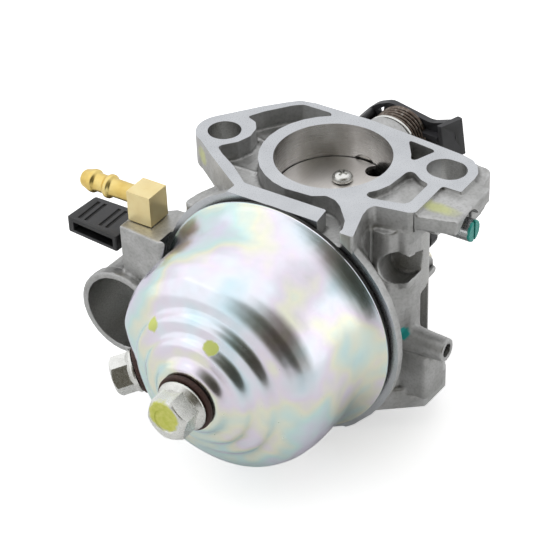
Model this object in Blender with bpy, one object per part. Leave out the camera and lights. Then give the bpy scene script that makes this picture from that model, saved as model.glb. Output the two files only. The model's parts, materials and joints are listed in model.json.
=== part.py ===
"""Float-bowl carburetor for a small single-cylinder engine, as an assembly of separate pieces.

+Y runs down the bore towards the engine, +Z is up as the carburetor sits on the engine, and +X is
the pilot-screw side. All lengths below are millimetres from the point where the bore axis meets the
air-cleaner face. piece() turns them into metres from ORIGIN, which lies on metal of that face.
"""

import math

import bmesh
import bpy
from mathutils import Matrix, Vector

MM = 0.001
ORIGIN = (0.0, 0.0, 18.0)     # the frame's origin: on the machined ring, straight above the bore

# Driving dimensions
LENGTH = 64.0                 # air-cleaner face to engine face
BORE_R = 15.9                 # choke end of the bore
VENTURI_R = 11.5
THROTTLE_R = 13.5
RING_R = 20.0                 # machined ring round the choke end
FLANGE_DEPTH = 9.4
STUD_LEFT = (-32.0, -4.0)     # x, z of the stud holes
STUD_RIGHT = (29.2, 9.1)
STUD_HOLE_R = 4.6
ENGINE_STUD = (27.8, -2.6)
BOWL_Y = 33.7                 # bowl axis stands at x = 0
BOWL_FACE_Z = -28.4           # underside of the casting that the gasket meets
COVER_R = 36.4
RIM_R = 34.6
WALL_R = 31.0
BOWL_BOTTOM_Z = -70.4
SHEET = 1.0
GASKET = 0.9
PLATE = 1.2
PIN_R = 1.0
TOWER_R = 6.2
TOWER_END_Z = BOWL_BOTTOM_Z + SHEET + 0.3
CHOKE_Y = 12.0
THROTTLE_Y = 50.0
SHAFT_R = 3.0
RUNNING = 0.06                # radial clearance of a shaft in its bore
STOCK = 2.0                   # metal machined off the two flange faces
PHASE = 0.27                  # share of a facet by which turned solids are started round their axis
GAP = 0.3                     # clearance between pieces that are bolted together
NEEDLE_X = -17.0
NEEDLE_FOOT_Z = -32.6
FLOAT_PIN_X = -25.0
FLOAT_PIN_Z = -34.0
CUP_CENTRE = (-48.0, 47.6)    # x, y of the sediment-cup seat
CUP_RIM_Z = -36.0
CUP_R = 13.3
VALVE_AXIS = (27.6, -24.6)    # y, z of the fuel-valve stem, which lies along x
ELBOW = (-43.2, 14.6, -25.9)  # centre of the elbow's square block
VENT_AXIS = (42.5, -10.0)     # y, z of the bowl-vent nipple
PILOT_AXIS = (7.2, -3.0)      # y, z of the pilot screw
PILOT_R = 3.0
PILOT_TIP_X = 44.0
IDLE_XZ = (10.0, 24.5)        # x, z of the idle stop screw, which lies along y
IDLE_TIP_Y = 46.8
JET_XY = (20.2, 25.6)
CHOKE_SCREW_Z = 4.5
VANE_LEAN = 0.13
DRAIN_SEAT = (-24.5, 43.0, -56.2)
DRAIN_AXIS = (-0.74, 0.27, -0.615)


# ---------------------------------------------------------------- mesh helpers

def placed(axis, u, v, along):
    """A point u, v across the axis and some way along it."""
    return Vector({"x": (along, u, v), "y": (u, along, v), "z": (u, v, along)}[axis])


def mesh_of(bm):
    bmesh.ops.recalc_face_normals(bm, faces=bm.faces)
    mesh = bpy.data.meshes.new("solid")
    bm.to_mesh(mesh)
    bm.free()
    return mesh


def prism(outline, axis, low, high):
    """The outline, drawn across the axis, carried from low to high."""
    bm = bmesh.new()
    face = bm.faces.new([bm.verts.new(placed(axis, u, v, low)) for u, v in outline])
    grown = bmesh.ops.extrude_face_region(bm, geom=[face])["geom"]
    far_end = [item for item in grown if isinstance(item, bmesh.types.BMVert)]
    bmesh.ops.translate(bm, verts=far_end, vec=placed(axis, 0, 0, high - low))
    return mesh_of(bm)


def box(low, high):
    (x0, y0, z0), (x1, y1, z1) = low, high
    return prism([(x0, y0), (x1, y0), (x1, y1), (x0, y1)], "z", z0, z1)


def turned(profile, start, direction, segments=32, ring=False):
    """A solid turned about the line from start along direction.

    The profile lists (distance along, radius). Unless it is a ring, it begins and ends on the axis.
    """
    axis = Vector(direction).normalized()
    side = axis.orthogonal().normalized() if abs(axis.x) + abs(axis.y) > 1e-6 else Vector((1, 0, 0))
    other = axis.cross(side)
    bm = bmesh.new()
    rows = []
    for along, radius in profile:
        centre = Vector(start) + axis * along
        if radius < 1e-6:
            rows.append([bm.verts.new(centre)])
            continue
        row = []
        for step in range(segments):
            angle = 2 * math.pi * (step + PHASE) / segments
            row.append(bm.verts.new(centre + (side * math.cos(angle) + other * math.sin(angle)) * radius))
        rows.append(row)
    pairs = list(zip(rows, rows[1:]))
    if ring:
        pairs.append((rows[-1], rows[0]))
    for near, far in pairs:
        for step in range(segments):
            after = (step + 1) % segments
            corners = [near[step % len(near)], near[after % len(near)],
                       far[after % len(far)], far[step % len(far)]]
            bm.faces.new(list(dict.fromkeys(corners)))
    return mesh_of(bm)


def rod(start, end, radius, segments=24):
    length = (Vector(end) - Vector(start)).length
    direction = Vector(end) - Vector(start)
    return turned([(0, 0), (0, radius), (length, radius), (length, 0)], start, direction, segments)


def washer(start, direction, thickness, inner, outer, segments=24):
    profile = [(0, inner), (0, outer), (thickness, outer), (thickness, inner)]
    return turned(profile, start, direction, segments, ring=True)


def clear_of(radius, clearance, segments):
    """Radius of a faceted bore whose flats stand clear of a shaft of this radius."""
    return (radius + clearance) / math.cos(math.pi / segments)


def arc(centre, radius, start, end, steps):
    """Points on an arc, with its ends given in degrees."""
    angles = [math.radians(start + (end - start) * step / steps) for step in range(steps + 1)]
    return [(centre[0] + radius * math.cos(a), centre[1] + radius * math.sin(a)) for a in angles]


def rounded(points, radius, steps=3):
    """The outline with each corner rounded off."""
    result = []
    for index, point in enumerate(points):
        corner = Vector(point)
        before = Vector(points[index - 1]) - corner
        after = Vector(points[(index + 1) % len(points)]) - corner
        reach = min(radius, 0.45 * before.length, 0.45 * after.length)
        start = corner + before.normalized() * reach
        end = corner + after.normalized() * reach
        for step in range(steps + 1):
            t = step / steps
            bend = start * (1 - t) ** 2 + corner * 2 * t * (1 - t) + end * t ** 2
            result.append(tuple(bend))
    return result


def swept(path, radius, sides=6):
    """A wire of round section along a path of points."""
    points = [Vector(point) for point in path]
    bm = bmesh.new()
    rings = []
    normal = (points[1] - points[0]).orthogonal().normalized()
    for index, point in enumerate(points):
        tangent = (points[min(index + 1, len(points) - 1)] - points[max(index - 1, 0)]).normalized()
        normal = (normal - tangent * normal.dot(tangent)).normalized()
        binormal = tangent.cross(normal)
        angles = [2 * math.pi * side / sides for side in range(sides)]
        rings.append([bm.verts.new(point + (normal * math.cos(a) + binormal * math.sin(a)) * radius)
                      for a in angles])
    for near, far in zip(rings, rings[1:]):
        for side in range(sides):
            after = (side + 1) % sides
            bm.faces.new([near[side], near[after], far[after], far[side]])
    bm.faces.new(rings[0][::-1])
    bm.faces.new(rings[-1])
    return mesh_of(bm)


def coil(centre, axis, radius, length, turns, wire, steps=12, ends=()):
    """Path of a coil spring, closed up at its ends by any extra points given."""
    total = round(turns * steps)
    points = []
    for step in range(total + 1):
        angle = 2 * math.pi * step / steps
        u, v = radius * math.cos(angle), radius * math.sin(angle)
        along = length * step / total
        offset = {"x": (along, u, v), "y": (v, along, u), "z": (u, v, along)}[axis]
        points.append(Vector(centre) + Vector(offset))
    return swept(points + list(ends), wire)


def paint(name, colour, roughness, metallic):
    material = bpy.data.materials.new(name)
    material.use_nodes = True
    shader = material.node_tree.nodes["Principled BSDF"]
    shader.inputs["Base Color"].default_value = (*colour, 1)
    shader.inputs["Roughness"].default_value = roughness
    shader.inputs["Metallic"].default_value = metallic
    return material


def settled(obj):
    """Puts the object's evaluated mesh in place of its modifiers."""
    bpy.context.view_layer.update()
    graph = bpy.context.evaluated_depsgraph_get()
    mesh = bpy.data.meshes.new_from_object(obj.evaluated_get(graph))
    obj.modifiers.clear()
    obj.data = mesh


def combined(obj, operation, meshes):
    """Joins the meshes to the object, or takes them away from it, in one Boolean."""
    if not meshes:
        return
    tools = bpy.data.collections.new("tools")
    bpy.context.scene.collection.children.link(tools)
    for mesh in meshes:
        tools.objects.link(bpy.data.objects.new("tool", mesh))
    modifier = obj.modifiers.new("tools", "BOOLEAN")
    modifier.operation = operation
    modifier.solver = "EXACT"
    modifier.operand_type = "COLLECTION"
    modifier.collection = tools
    settled(obj)
    for tool in list(tools.objects):
        bpy.data.objects.remove(tool)
    bpy.data.collections.remove(tools)
    triangulated(obj)


def triangulated(obj):
    """Merges the flat faces that a Boolean left in strips, then splits every face into triangles."""
    bm = bmesh.new()
    bm.from_mesh(obj.data)
    bmesh.ops.dissolve_limit(bm, angle_limit=math.radians(0.05), verts=bm.verts, edges=bm.edges)
    bmesh.ops.triangulate(bm, faces=bm.faces)
    bm.to_mesh(obj.data)
    bm.free()


def shaped(first, *steps):
    """The first mesh, with each step's meshes joined to it or taken away in turn."""
    obj = bpy.data.objects.new("shape", first)
    bpy.context.scene.collection.objects.link(obj)
    for operation, meshes in steps:
        combined(obj, operation, meshes)
    mesh = obj.data
    bpy.data.objects.remove(obj)
    return mesh


def piece(name, material, first, *steps, pivot=None):
    """A named object in metres, shaped by the steps and with its origin at the pivot."""
    obj = bpy.data.objects.new(name, shaped(first, *steps))
    bpy.context.scene.collection.objects.link(obj)
    obj.data.transform(Matrix.Scale(MM, 4) @ Matrix.Translation(-Vector(ORIGIN)))
    if pivot:
        place = (Vector(pivot) - Vector(ORIGIN)) * MM
        obj.data.transform(Matrix.Translation(-place))
        obj.location = place
    obj.data.materials.clear()
    obj.data.materials.append(material)
    obj.data.shade_smooth()
    obj.data.set_sharp_from_angle(angle=math.radians(35))
    return obj


def add(*meshes):
    return "UNION", list(meshes)


def cut(*meshes):
    return "DIFFERENCE", list(meshes)


# ---------------------------------------------------------------- the casting

def flange_outline():
    """Outline (x, z) of the air-cleaner flange, from its lower left round the top to the leg."""
    left_lug = arc(STUD_LEFT, 7.9, 250, 140, 8)
    top = [(-35, 5), (-30, 11.5), (-25, 17), (-22.4, 19.4), (-18, 20.3), (0, 20.3), (20, 18.3), (30, 17.2)]
    right = [(33, 16.3), (35.4, 14.3), (37.1, 11.5), (37.5, 9), (37.5, 1.5), (32, 1.5), (32, -12.5)]
    leg = [(30.5, -13.4), (21.5, -15), (20.7, -17), (21, -20), (22.5, -25), (24, -29.8), (13.4, -29.8)]
    bar = [(10.4, -29.6), (8.8, -27.3), (-10.8, -27.3), (-13, -26), (-17, -23.5), (-28, -16.2)]
    return left_lug + top + right + leg + bar


def engine_outline():
    """Outline (x, z) of the engine flange, a lug at each stud and a straight lower right edge."""
    right_lug = arc(ENGINE_STUD, 7.8, 20, 60, 3)
    left_lug = arc(STUD_LEFT, 8, 140, 250, 7)
    return [(34.6, -10.4)] + right_lug + [(16, 16), (0, 20.5), (-18, 18)] + left_lug + [
        (-18, -20), (-8, -25), (14, -25), (22.9, -19.6)]


def casting_lumps():
    barrel = turned([(-4, 0), (-4, RING_R), (14, RING_R), (18, 18.4), (46, 17.4), (56, 18.2),
                     (LENGTH + 4, 18.2), (LENGTH + 4, 0)], (0, 0, 0), (0, 1, 0), 36)
    block = prism([(31, -13.0), (42.4, -9.8), (42.4, 8.3), (31, 8.3)], "y", 1.0, 5.2)
    screw_boss = rod((26, *PILOT_AXIS), (34.5, *PILOT_AXIS), 4.0, 20)
    upper_lug = prism(rounded([(24, 17.8), (38.6, 16.4), (40.4, 8), (40.4, 1), (30, 1)], 2), "y", 1.2,
                      FLANGE_DEPTH)
    side_boss = prism(rounded([(11, -14), (26, -17.2), (30.6, -10), (30.4, -2), (27, 4.6), (18, 8),
                               (11, 16)], 3), "y", 6.5, LENGTH - 5)
    choke_boss = turned([(0, 0), (0, 6.2), (14, 6.2), (14, 8.2), (19.2, 8.2), (19.2, 0)],
                        (0, CHOKE_Y, 10), (0, 0, 1), 24)
    throttle_boss = rod((0, THROTTLE_Y, 10), (0, THROTTLE_Y, 26), 6.2, 20)
    flange = prism(flange_outline(), "y", -STOCK, FLANGE_DEPTH)
    engine_flange = prism(engine_outline(), "y", LENGTH - 6.4, LENGTH + STOCK)
    left_web = prism(rounded([(-26.4, -16.4), (-28.6, -22), (-29.4, -27.8), (-10, -27.8), (-10, -12),
                              (-20, -8)], 1.5), "y", 8.6, 16)
    lower_web = prism(rounded([(-21, -27.8), (-8, -27.8), (-8, -12), (-21, -14)], 2), "y", 5.8, 52)
    leg_web = prism(rounded([(21, -15.4), (31, -13.6), (30.2, -5), (9.2, -5.6), (9, -27.8),
                             (22, -27.8)], 1.5), "y", 6.1, 24)
    vent = turned([(0, 0), (0, 4.6), (12, 3.6), (18.8, 3.3), (18.8, 0)], (22, *VENT_AXIS), (1, 0, 0), 20)
    vent_base = prism(rounded([(22, -13.6), (36.6, -13.6), (37.4, -4.6), (22, -4)], 1.2), "y", 45,
                      LENGTH - 5)
    idle_lug = prism(rounded([(5.4, 10), (5, 28.6), (14.6, 28.6), (16.4, 4)], 2.5), "y", 30, 37)
    air_boss = rod((21.6, 34.4, 0), (21.6, 34.4, 11.5), 3.8, 20)
    return [barrel, flange, block, screw_boss, upper_lug, side_boss, choke_boss, throttle_boss,
            engine_flange, left_web, lower_web, leg_web, vent, vent_base, idle_lug,
            air_boss] + inlet_lumps()


def cover():
    """The domed roof of the float chamber, with the gasket face underneath."""
    return turned([(0, 0), (0, COVER_R), (2.6, COVER_R), (3.6, COVER_R - 1.2), (6.5, 32.5), (11, 27.5),
                   (16.4, 20), (20.4, 11), (20.4, 0)], (0, BOWL_Y, BOWL_FACE_Z), (0, 0, 1), 40)


def inlet_lumps():
    """The fuel inlet side: elbow block, valve seat, cup seat and the arm that ties them to the body."""
    x, y = CUP_CENTRE
    block = prism([(-47.8, -33.2), (-33.9, -34.4), (-28, -30), (-28, -18), (-38.6, -18.6), (-47.6, -26)],
                  "y", ELBOW[1] + 4.9, 35)
    cup = turned([(0, 0), (0, CUP_R), (3.4, CUP_R), (4.2, CUP_R - 0.8), (15, CUP_R - 1.2),
                  (17, CUP_R - 4), (17, 0)], (x, y, CUP_RIM_Z), (0, 0, 1), 28)
    arm = prism(rounded([(-50, 36), (-18, 26), (-18, 56), (-40, 59), (-50, 58)], 4), "z", -31, -20)
    link = prism(rounded([(-46, 33), (-22, 20), (-14, 24), (-20, 44), (-46, 44)], 2), "z", -30.5, -19.2)
    valve_seat = rod((-48.4, *VALVE_AXIS), (-36, *VALVE_AXIS), 6.4, 24)
    return [block, cup, arm, link, valve_seat]


def pockets():
    """Cored recesses in the air-cleaner flange, between its machined bands."""
    ring = arc((0, 0), RING_R - 0.05, 122, 262, 12)
    foot = [(5.4, -19.3), (8.5, -17.3), (11.5, -17.8), (14, -19.5), (18.5, -24.5), (20, -28), (19.5, -32),
            (13.3, -32), (12, -22.8), (-13, -22.8), (-20, -17.5)]
    lug_side = [(-26, -14), (-28.7, -12), (-28.5, -10.7), (-25.5, -7), (-24.3, -3), (-25, 1), (-27, 3.7),
                (-30.5, 5), (-28, 9.5), (-23, 16)]
    big = [(-20.5, 18), (-12, 18)] + ring + foot + lug_side
    upper_right = [(13.4, 16.6), (21.5, 15.6), (22.3, 14.8), (19.8, 8.5), (18.5, 8.7), (17.7, 10.5)]
    middle_right = [(20.8, 2.5), (21.5, 3.5), (23, 3.3), (25.5, 1.5), (28.5, 0.5), (28.5, -9),
                    (27.5, -10.5), (19, -12.5), (17.2, -12), (17, -10.5), (18.6, -8.5), (20.1, -5),
                    (20.6, 0)]
    slot = [(17.3, -11.8), (28, -10.2), (26.5, -8.4), (17.8, -10.3)]
    return [prism(big, "y", -3, 5.6), prism(upper_right, "y", -3.2, 5.7),
            prism(middle_right, "y", -3.4, 2.2), prism(slot, "y", -3.6, 4.8)]


def bore():
    """The air passage: choke bore, venturi throat and throttle bore."""
    profile = [(-5, 0), (-5, BORE_R), (17, BORE_R), (22, 14.6), (30, VENTURI_R), (34, VENTURI_R),
               (42, THROTTLE_R), (LENGTH + 5, THROTTLE_R), (LENGTH + 5, 0)]
    return turned(profile, (0, 0, 0), (0, 1, 0), 40)


def chamber():
    """The hollow in the underside of the cover, round its centre boss, and the room below for the bowl."""
    profile = [(-3, 9.2), (-3, WALL_R - 1.6), (4.6, WALL_R - 1.6), (6.4, WALL_R - 4), (6.4, 9.2)]
    hollow = turned(profile, (0, BOWL_Y, BOWL_FACE_Z), (0, 0, 1), 28, ring=True)
    return [hollow, rod((0, BOWL_Y, BOWL_FACE_Z - 12), (0, BOWL_Y, BOWL_FACE_Z), RIM_R + GAP, 40)]


def chamber_fittings():
    """What hangs from the cover into the bowl: jet tower, float-hinge posts and needle-seat boss."""
    tower = turned([(0, 0), (0, TOWER_R), (43, TOWER_R + 0.8), (43, 0)], (0, BOWL_Y, TOWER_END_Z),
                   (0, 0, 1), 20)
    outline = [(-27.4, FLOAT_PIN_Z - 2.2), (-22.6, FLOAT_PIN_Z - 2.2), (-21.6, -20), (-28, -20)]
    posts = [prism(outline, "y", BOWL_Y + side * 6.5 - 1.3, BOWL_Y + side * 6.5 + 1.3) for side in (1, -1)]
    return [tower, rod((NEEDLE_X, BOWL_Y, -26.6), (NEEDLE_X, BOWL_Y, -18), 4.6, 20)] + posts


def flange_holes():
    """Stud holes: round on the left and in the engine flange, an obround at the right of the front one."""
    left = rod((STUD_LEFT[0], -6, STUD_LEFT[1]), (STUD_LEFT[0], LENGTH + 6, STUD_LEFT[1]), STUD_HOLE_R)
    x, z = STUD_RIGHT
    obround = arc((x + 0.5, z), STUD_HOLE_R, -90, 90, 9) + arc((x - 0.5, z), STUD_HOLE_R, 90, 270, 9)
    engine = rod((ENGINE_STUD[0], 30, ENGINE_STUD[1]), (ENGINE_STUD[0], LENGTH + 6, ENGINE_STUD[1]),
                 STUD_HOLE_R - 0.3)
    return [left, prism(obround, "y", -6, 34), engine]


def drillings():
    """Bores for the shafts, jets and screws."""
    well = turned([(-2, 0), (-2, 3.3), (21, 3.3), (21, 2.6), (60, 2.6), (60, 0)],
                  (0, BOWL_Y, TOWER_END_Z), (0, 0, 1), 16)
    choke_bore = rod((0, CHOKE_Y, -18.4), (0, CHOKE_Y, 36), clear_of(SHAFT_R, RUNNING, 20), 20)
    throttle_bore = rod((0, THROTTLE_Y, -17), (0, THROTTLE_Y, 36), clear_of(SHAFT_R, RUNNING, 20), 20)
    vent_bore = rod((46, *VENT_AXIS), (22, *VENT_AXIS), 1.9, 14)
    pilot_way = rod((52, *PILOT_AXIS), (26, *PILOT_AXIS), clear_of(PILOT_R, RUNNING, 20), 20)
    notch = prism(rounded([(39.4, -6.8), (46, -6.8), (46, 1.2), (39.4, 1.2)], 1.2), "y", -4, 9)
    window = rod((29.4, 15.6, -23), (26.5, 19.6, -6), 4.8, 18)
    jet_well = rod((*JET_XY, 12), (*JET_XY, -9), clear_of(2.4, GAP, 16), 16)
    idle_screw_way = rod((IDLE_XZ[0], 28, IDLE_XZ[1]), (IDLE_XZ[0], 39, IDLE_XZ[1]),
                         clear_of(2.0, RUNNING, 16), 16)
    return [well, choke_bore, throttle_bore, vent_bore, pilot_way, notch, window, jet_well, idle_screw_way]


def fuel_ways():
    """Bores that the fuel passes from the elbow to the float needle, and the float pin's hole."""
    elbow_thread = rod(ELBOW, (ELBOW[0], 22.6, ELBOW[2]), clear_of(2.9, GAP, 16), 16)
    inlet_way = rod(ELBOW, (ELBOW[0], VALVE_AXIS[0], ELBOW[2]), 1.4, 10)
    stem_r = clear_of(2.4, RUNNING, 20)
    valve_bore = turned([(0, 0), (0, 4.7), (10.2, 4.7), (10.2, stem_r), (18, stem_r), (18, 0)],
                        (-56, *VALVE_AXIS), (1, 0, 0), 20)
    cup_way = rod((CUP_CENTRE[0] + 2, CUP_CENTRE[1] - 5.6, -28), (-40.5, *VALVE_AXIS), 1.2, 10)
    fuel_way = rod((-39, *VALVE_AXIS), (NEEDLE_X, BOWL_Y, -16.9), 1.2, 10)
    needle_way = rod((NEEDLE_X, BOWL_Y, -29), (NEEDLE_X, BOWL_Y, -15.6), clear_of(2.9, GAP, 16), 16)
    cup_hollow = rod((*CUP_CENTRE, CUP_RIM_Z - 3), (*CUP_CENTRE, CUP_RIM_Z + 13), CUP_R - 2, 28)
    pin_hole = rod((FLOAT_PIN_X, BOWL_Y - 9, FLOAT_PIN_Z), (FLOAT_PIN_X, BOWL_Y + 9, FLOAT_PIN_Z),
                   clear_of(PIN_R, 0.05, 12), 12)
    return [elbow_thread, inlet_way, valve_bore, cup_way, fuel_way, needle_way, cup_hollow, pin_hole]


def build_body(metal):
    front_trim = box((-70, -12, -40), (70, 0, 40))
    rear_trim = box((-70, LENGTH, -25.8), (70, LENGTH + 9, 40))
    cuts = pockets() + [bore(), front_trim, rear_trim] + flange_holes() + drillings() + fuel_ways()
    piece("carburetor_body", metal, cover(), add(*casting_lumps()), cut(*chamber()),
          add(*chamber_fittings()), cut(*cuts))


# ---------------------------------------------------------------- float bowl

def build_bowl(zinc, fibre, plated, rubber):
    """The pressed bowl, with a flat pressed across its corner where the drain bolt seats."""
    top = BOWL_FACE_Z - GAP - GASKET - GAP
    depth = top - BOWL_BOTTOM_Z
    wall = [(20, WALL_R), (25, 30.2), (29, 28.4), (31.4, 25.4), (32.3, 21.6), (34.6, 20.2), (35.4, 16.4),
            (37.6, 15), (38.3, 11.2), (depth, 9.4)]
    rim = [(0, 0), (0, RIM_R), (1.0, RIM_R), (1.1, WALL_R + 1.2), (2.4, WALL_R)]
    inside = [(along - SHEET, radius - SHEET) for along, radius in wall]
    direction = Vector(DRAIN_AXIS).normalized()
    seat = Vector(DRAIN_SEAT)
    outside_flat = rod(seat, seat + direction * 20, 30, 24)
    inside_flat = rod(seat - direction * SHEET, seat + direction * 20, 30, 24)
    form = turned(rim + wall + [(depth, 0)], (0, BOWL_Y, top), (0, 0, -1), 36)
    hollow = turned([(-3, 0), (-3, WALL_R - SHEET)] + inside + [(depth - SHEET, 0)],
                    (0, BOWL_Y, top), (0, 0, -1), 36)
    boss = rod(seat - direction * 3.2, seat - direction * 0.4, 6.2, 20)
    drain_hole = rod(seat - direction * 9, seat + direction * 3, clear_of(2.9, GAP, 16), 16)
    bolt_hole = rod((0, BOWL_Y, BOWL_BOTTOM_Z - 2), (0, BOWL_Y, BOWL_BOTTOM_Z + 4), 3.6, 20)
    piece("float_bowl", zinc, form, cut(outside_flat), cut(shaped(hollow, cut(inside_flat))), add(boss),
          cut(drain_hole, bolt_hole))
    gasket_top = (0, BOWL_Y, BOWL_FACE_Z - GAP)
    piece("bowl_gasket", rubber, washer(gasket_top, (0, 0, -1), GASKET, WALL_R + 0.4, RIM_R - 0.4, 40))
    under = BOWL_BOTTOM_Z - GAP
    piece("bowl_bolt_washer", fibre, washer((0, BOWL_Y, under), (0, 0, -1), 1.4, 3.6, 8.0, 24))
    bolt_top = under - 1.4 - GAP
    build_bolt("bowl_bolt", plated, (0, BOWL_Y, bolt_top), (0, 0, -1), 7.2, 11.0, 7.4, 16.0)
    piece("drain_bolt_washer", fibre, washer(seat + direction * GAP, direction, 1.3, 3.6, 6.6, 24))
    build_bolt("drain_bolt", plated, seat + direction * (1.3 + 2 * GAP), direction, 6.0, 9.4, 6.6, 6.0)


def build_bolt(name, metal, start, direction, flange_r, across_flats, height, shank):
    """A flanged hexagon bolt whose head stands along direction from start, its shank the other way."""
    axis = Vector(direction).normalized()
    origin = Vector(start)
    head = turned([(0, 0), (0, flange_r), (0.9, flange_r), (1.9, across_flats * 0.54), (1.9, 0)],
                  origin, axis, 24)
    corner_r = across_flats / math.sqrt(3)
    hexagonal = turned([(1.5, 0), (1.5, corner_r), (height - 0.6, corner_r), (height, across_flats * 0.5),
                        (height, 0)], origin, axis, 6)
    stem = rod(origin - axis * shank, origin + axis, 2.9, 16)
    piece(name, metal, head, add(hexagonal, stem))


# ---------------------------------------------------------------- fuel metering

def build_jets(brass, dark_metal):
    jet = turned([(0, 0), (0, 3.0), (6, 3.0), (6, 0)], (0, BOWL_Y, -55), (0, 0, 1), 16)
    way = rod((0, BOWL_Y, -57), (0, BOWL_Y, -47), 0.8, 10)
    slot = box((-4, BOWL_Y - 0.5, -57), (4, BOWL_Y + 0.5, -54))
    piece("main_jet", brass, jet, cut(way, slot))
    tube = turned([(0, 1.1), (0, 2.3), (30, 2.3), (30, 1.8), (38.2, 1.8), (38.2, 1.1)],
                  (0, BOWL_Y, -47.6), (0, 0, 1), 16, ring=True)
    bleeds = [rod((-3, BOWL_Y, z), (3, BOWL_Y, z), 0.5, 8) for z in (-42, -36, -30)]
    piece("emulsion_tube", brass, tube, cut(*bleeds))
    seat = turned([(0, 1.85), (0, 2.9), (7.4, 2.9), (7.4, 1.0), (5.2, 1.0), (4.0, 1.85)],
                  (NEEDLE_X, BOWL_Y, -26.2), (0, 0, 1), 16, ring=True)
    piece("needle_seat", brass, seat)
    needle = turned([(0, 0), (0, 1.1), (0.8, 1.1), (0.8, 1.6), (8.2, 1.6), (10.6, 0.5), (10.6, 0)],
                    (NEEDLE_X, BOWL_Y, NEEDLE_FOOT_Z), (0, 0, 1), 12)
    piece("float_needle", dark_metal, needle, pivot=(NEEDLE_X, BOWL_Y, NEEDLE_FOOT_Z))


def build_float(plastic, steel):
    ring = turned([(0, 10.6), (0, 24), (2, 26), (9, 26), (11, 24), (11, 10.6)], (1.6, BOWL_Y, -49.6),
                  (0, 0, 1), 28, ring=True)
    leaf = prism([(FLOAT_PIN_X - 1.9, FLOAT_PIN_Z + 1.9), (FLOAT_PIN_X + 2.2, FLOAT_PIN_Z + 1.9),
                  (NEEDLE_X - 2, NEEDLE_FOOT_Z - 0.3), (NEEDLE_X + 3, NEEDLE_FOOT_Z - 0.3),
                  (NEEDLE_X + 3, -43), (FLOAT_PIN_X + 2.4, -43), (FLOAT_PIN_X - 1.9, FLOAT_PIN_Z - 2)],
                 "y", BOWL_Y - 4.6, BOWL_Y + 4.6)
    pin_hole = rod((FLOAT_PIN_X, BOWL_Y - 6, FLOAT_PIN_Z), (FLOAT_PIN_X, BOWL_Y + 6, FLOAT_PIN_Z),
                   clear_of(PIN_R, 0.05, 12), 12)
    piece("float", plastic, ring, add(leaf), cut(pin_hole), pivot=(FLOAT_PIN_X, BOWL_Y, FLOAT_PIN_Z))
    pin = rod((FLOAT_PIN_X, BOWL_Y - 9.4, FLOAT_PIN_Z), (FLOAT_PIN_X, BOWL_Y + 9.4, FLOAT_PIN_Z), PIN_R, 12)
    piece("float_pin", steel, pin)


# ---------------------------------------------------------------- choke and throttle

def valve_disc(y, radius, thickness, hole_x_z, notch=None):
    disc = rod((0, y, 0), (0, y + thickness, 0), radius, 40)
    cuts = [rod((x, y - 2, z), (x, y + thickness + 2, z), 1.8, 12) for x, z in hole_x_z]
    return disc, cuts + ([notch] if notch else [])


def pan_screw(name, metal, head_at, axis_y):
    """A cross-recessed pan screw along y; axis_y is -1 when its head faces the air cleaner."""
    x, y, z = head_at
    head = turned([(0, 0), (0, 2.9), (0.9, 2.9), (1.8, 2.2), (2.1, 1.2), (2.1, 0)], (x, y, z),
                  (0, axis_y, 0), 20)
    stem = rod((x, y + 0.5 * axis_y, z), (x, y - 5.6 * axis_y, z), 1.45, 12)
    recess = [box((x - 0.35, min(y + axis_y * 1.0, y + axis_y * 4), z - 1.5),
                  (x + 0.35, max(y + axis_y * 1.0, y + axis_y * 4), z + 1.5)),
              box((x - 1.5, min(y + axis_y * 1.1, y + axis_y * 4.2), z - 0.35),
                  (x + 1.5, max(y + axis_y * 1.1, y + axis_y * 4.2), z + 0.35))]
    piece(name, metal, head, add(stem), cut(*recess))


def build_choke(steel, dark_steel, plated, black):
    shaft = rod((0, CHOKE_Y, -17.8), (0, CHOKE_Y, 41.6), SHAFT_R, 20)
    flat = box((-4, CHOKE_Y - 6, -BORE_R - 0.2), (4, CHOKE_Y - 0.2, BORE_R + 0.2))
    screw_hole = rod((0, CHOKE_Y - 5, CHOKE_SCREW_Z), (0, CHOKE_Y + 5, CHOKE_SCREW_Z), 1.8, 12)
    piece("choke_shaft", steel, shaft, cut(flat, screw_hole), pivot=(0, CHOKE_Y, 0))
    plate_y = CHOKE_Y - 0.2 - GAP - PLATE
    notch = rod((5.4, plate_y - 2, 12.6), (5.4, plate_y + 4, 12.6), 2.7, 16)
    drain = box((-1.6, plate_y - 1, -14.4), (1.6, plate_y + 3, -13.6))
    disc, holes = valve_disc(plate_y, BORE_R - 0.3, PLATE, [(0, CHOKE_SCREW_Z)], notch)
    piece("choke_plate", dark_steel, disc, cut(*holes, drain), pivot=(0, CHOKE_Y, 0))
    pan_screw("choke_plate_screw", plated, (0, plate_y - GAP, CHOKE_SCREW_Z), -1)
    piece("choke_washer", plated, washer((0, CHOKE_Y, 29.6), (0, 0, 1), 0.9, 3.5, 8.0, 24))
    piece("choke_spring", dark_steel, coil((0, CHOKE_Y, 31.2), "z", 7.3, 5.5, 6, 0.42, 11))
    build_choke_lever(black)


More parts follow.
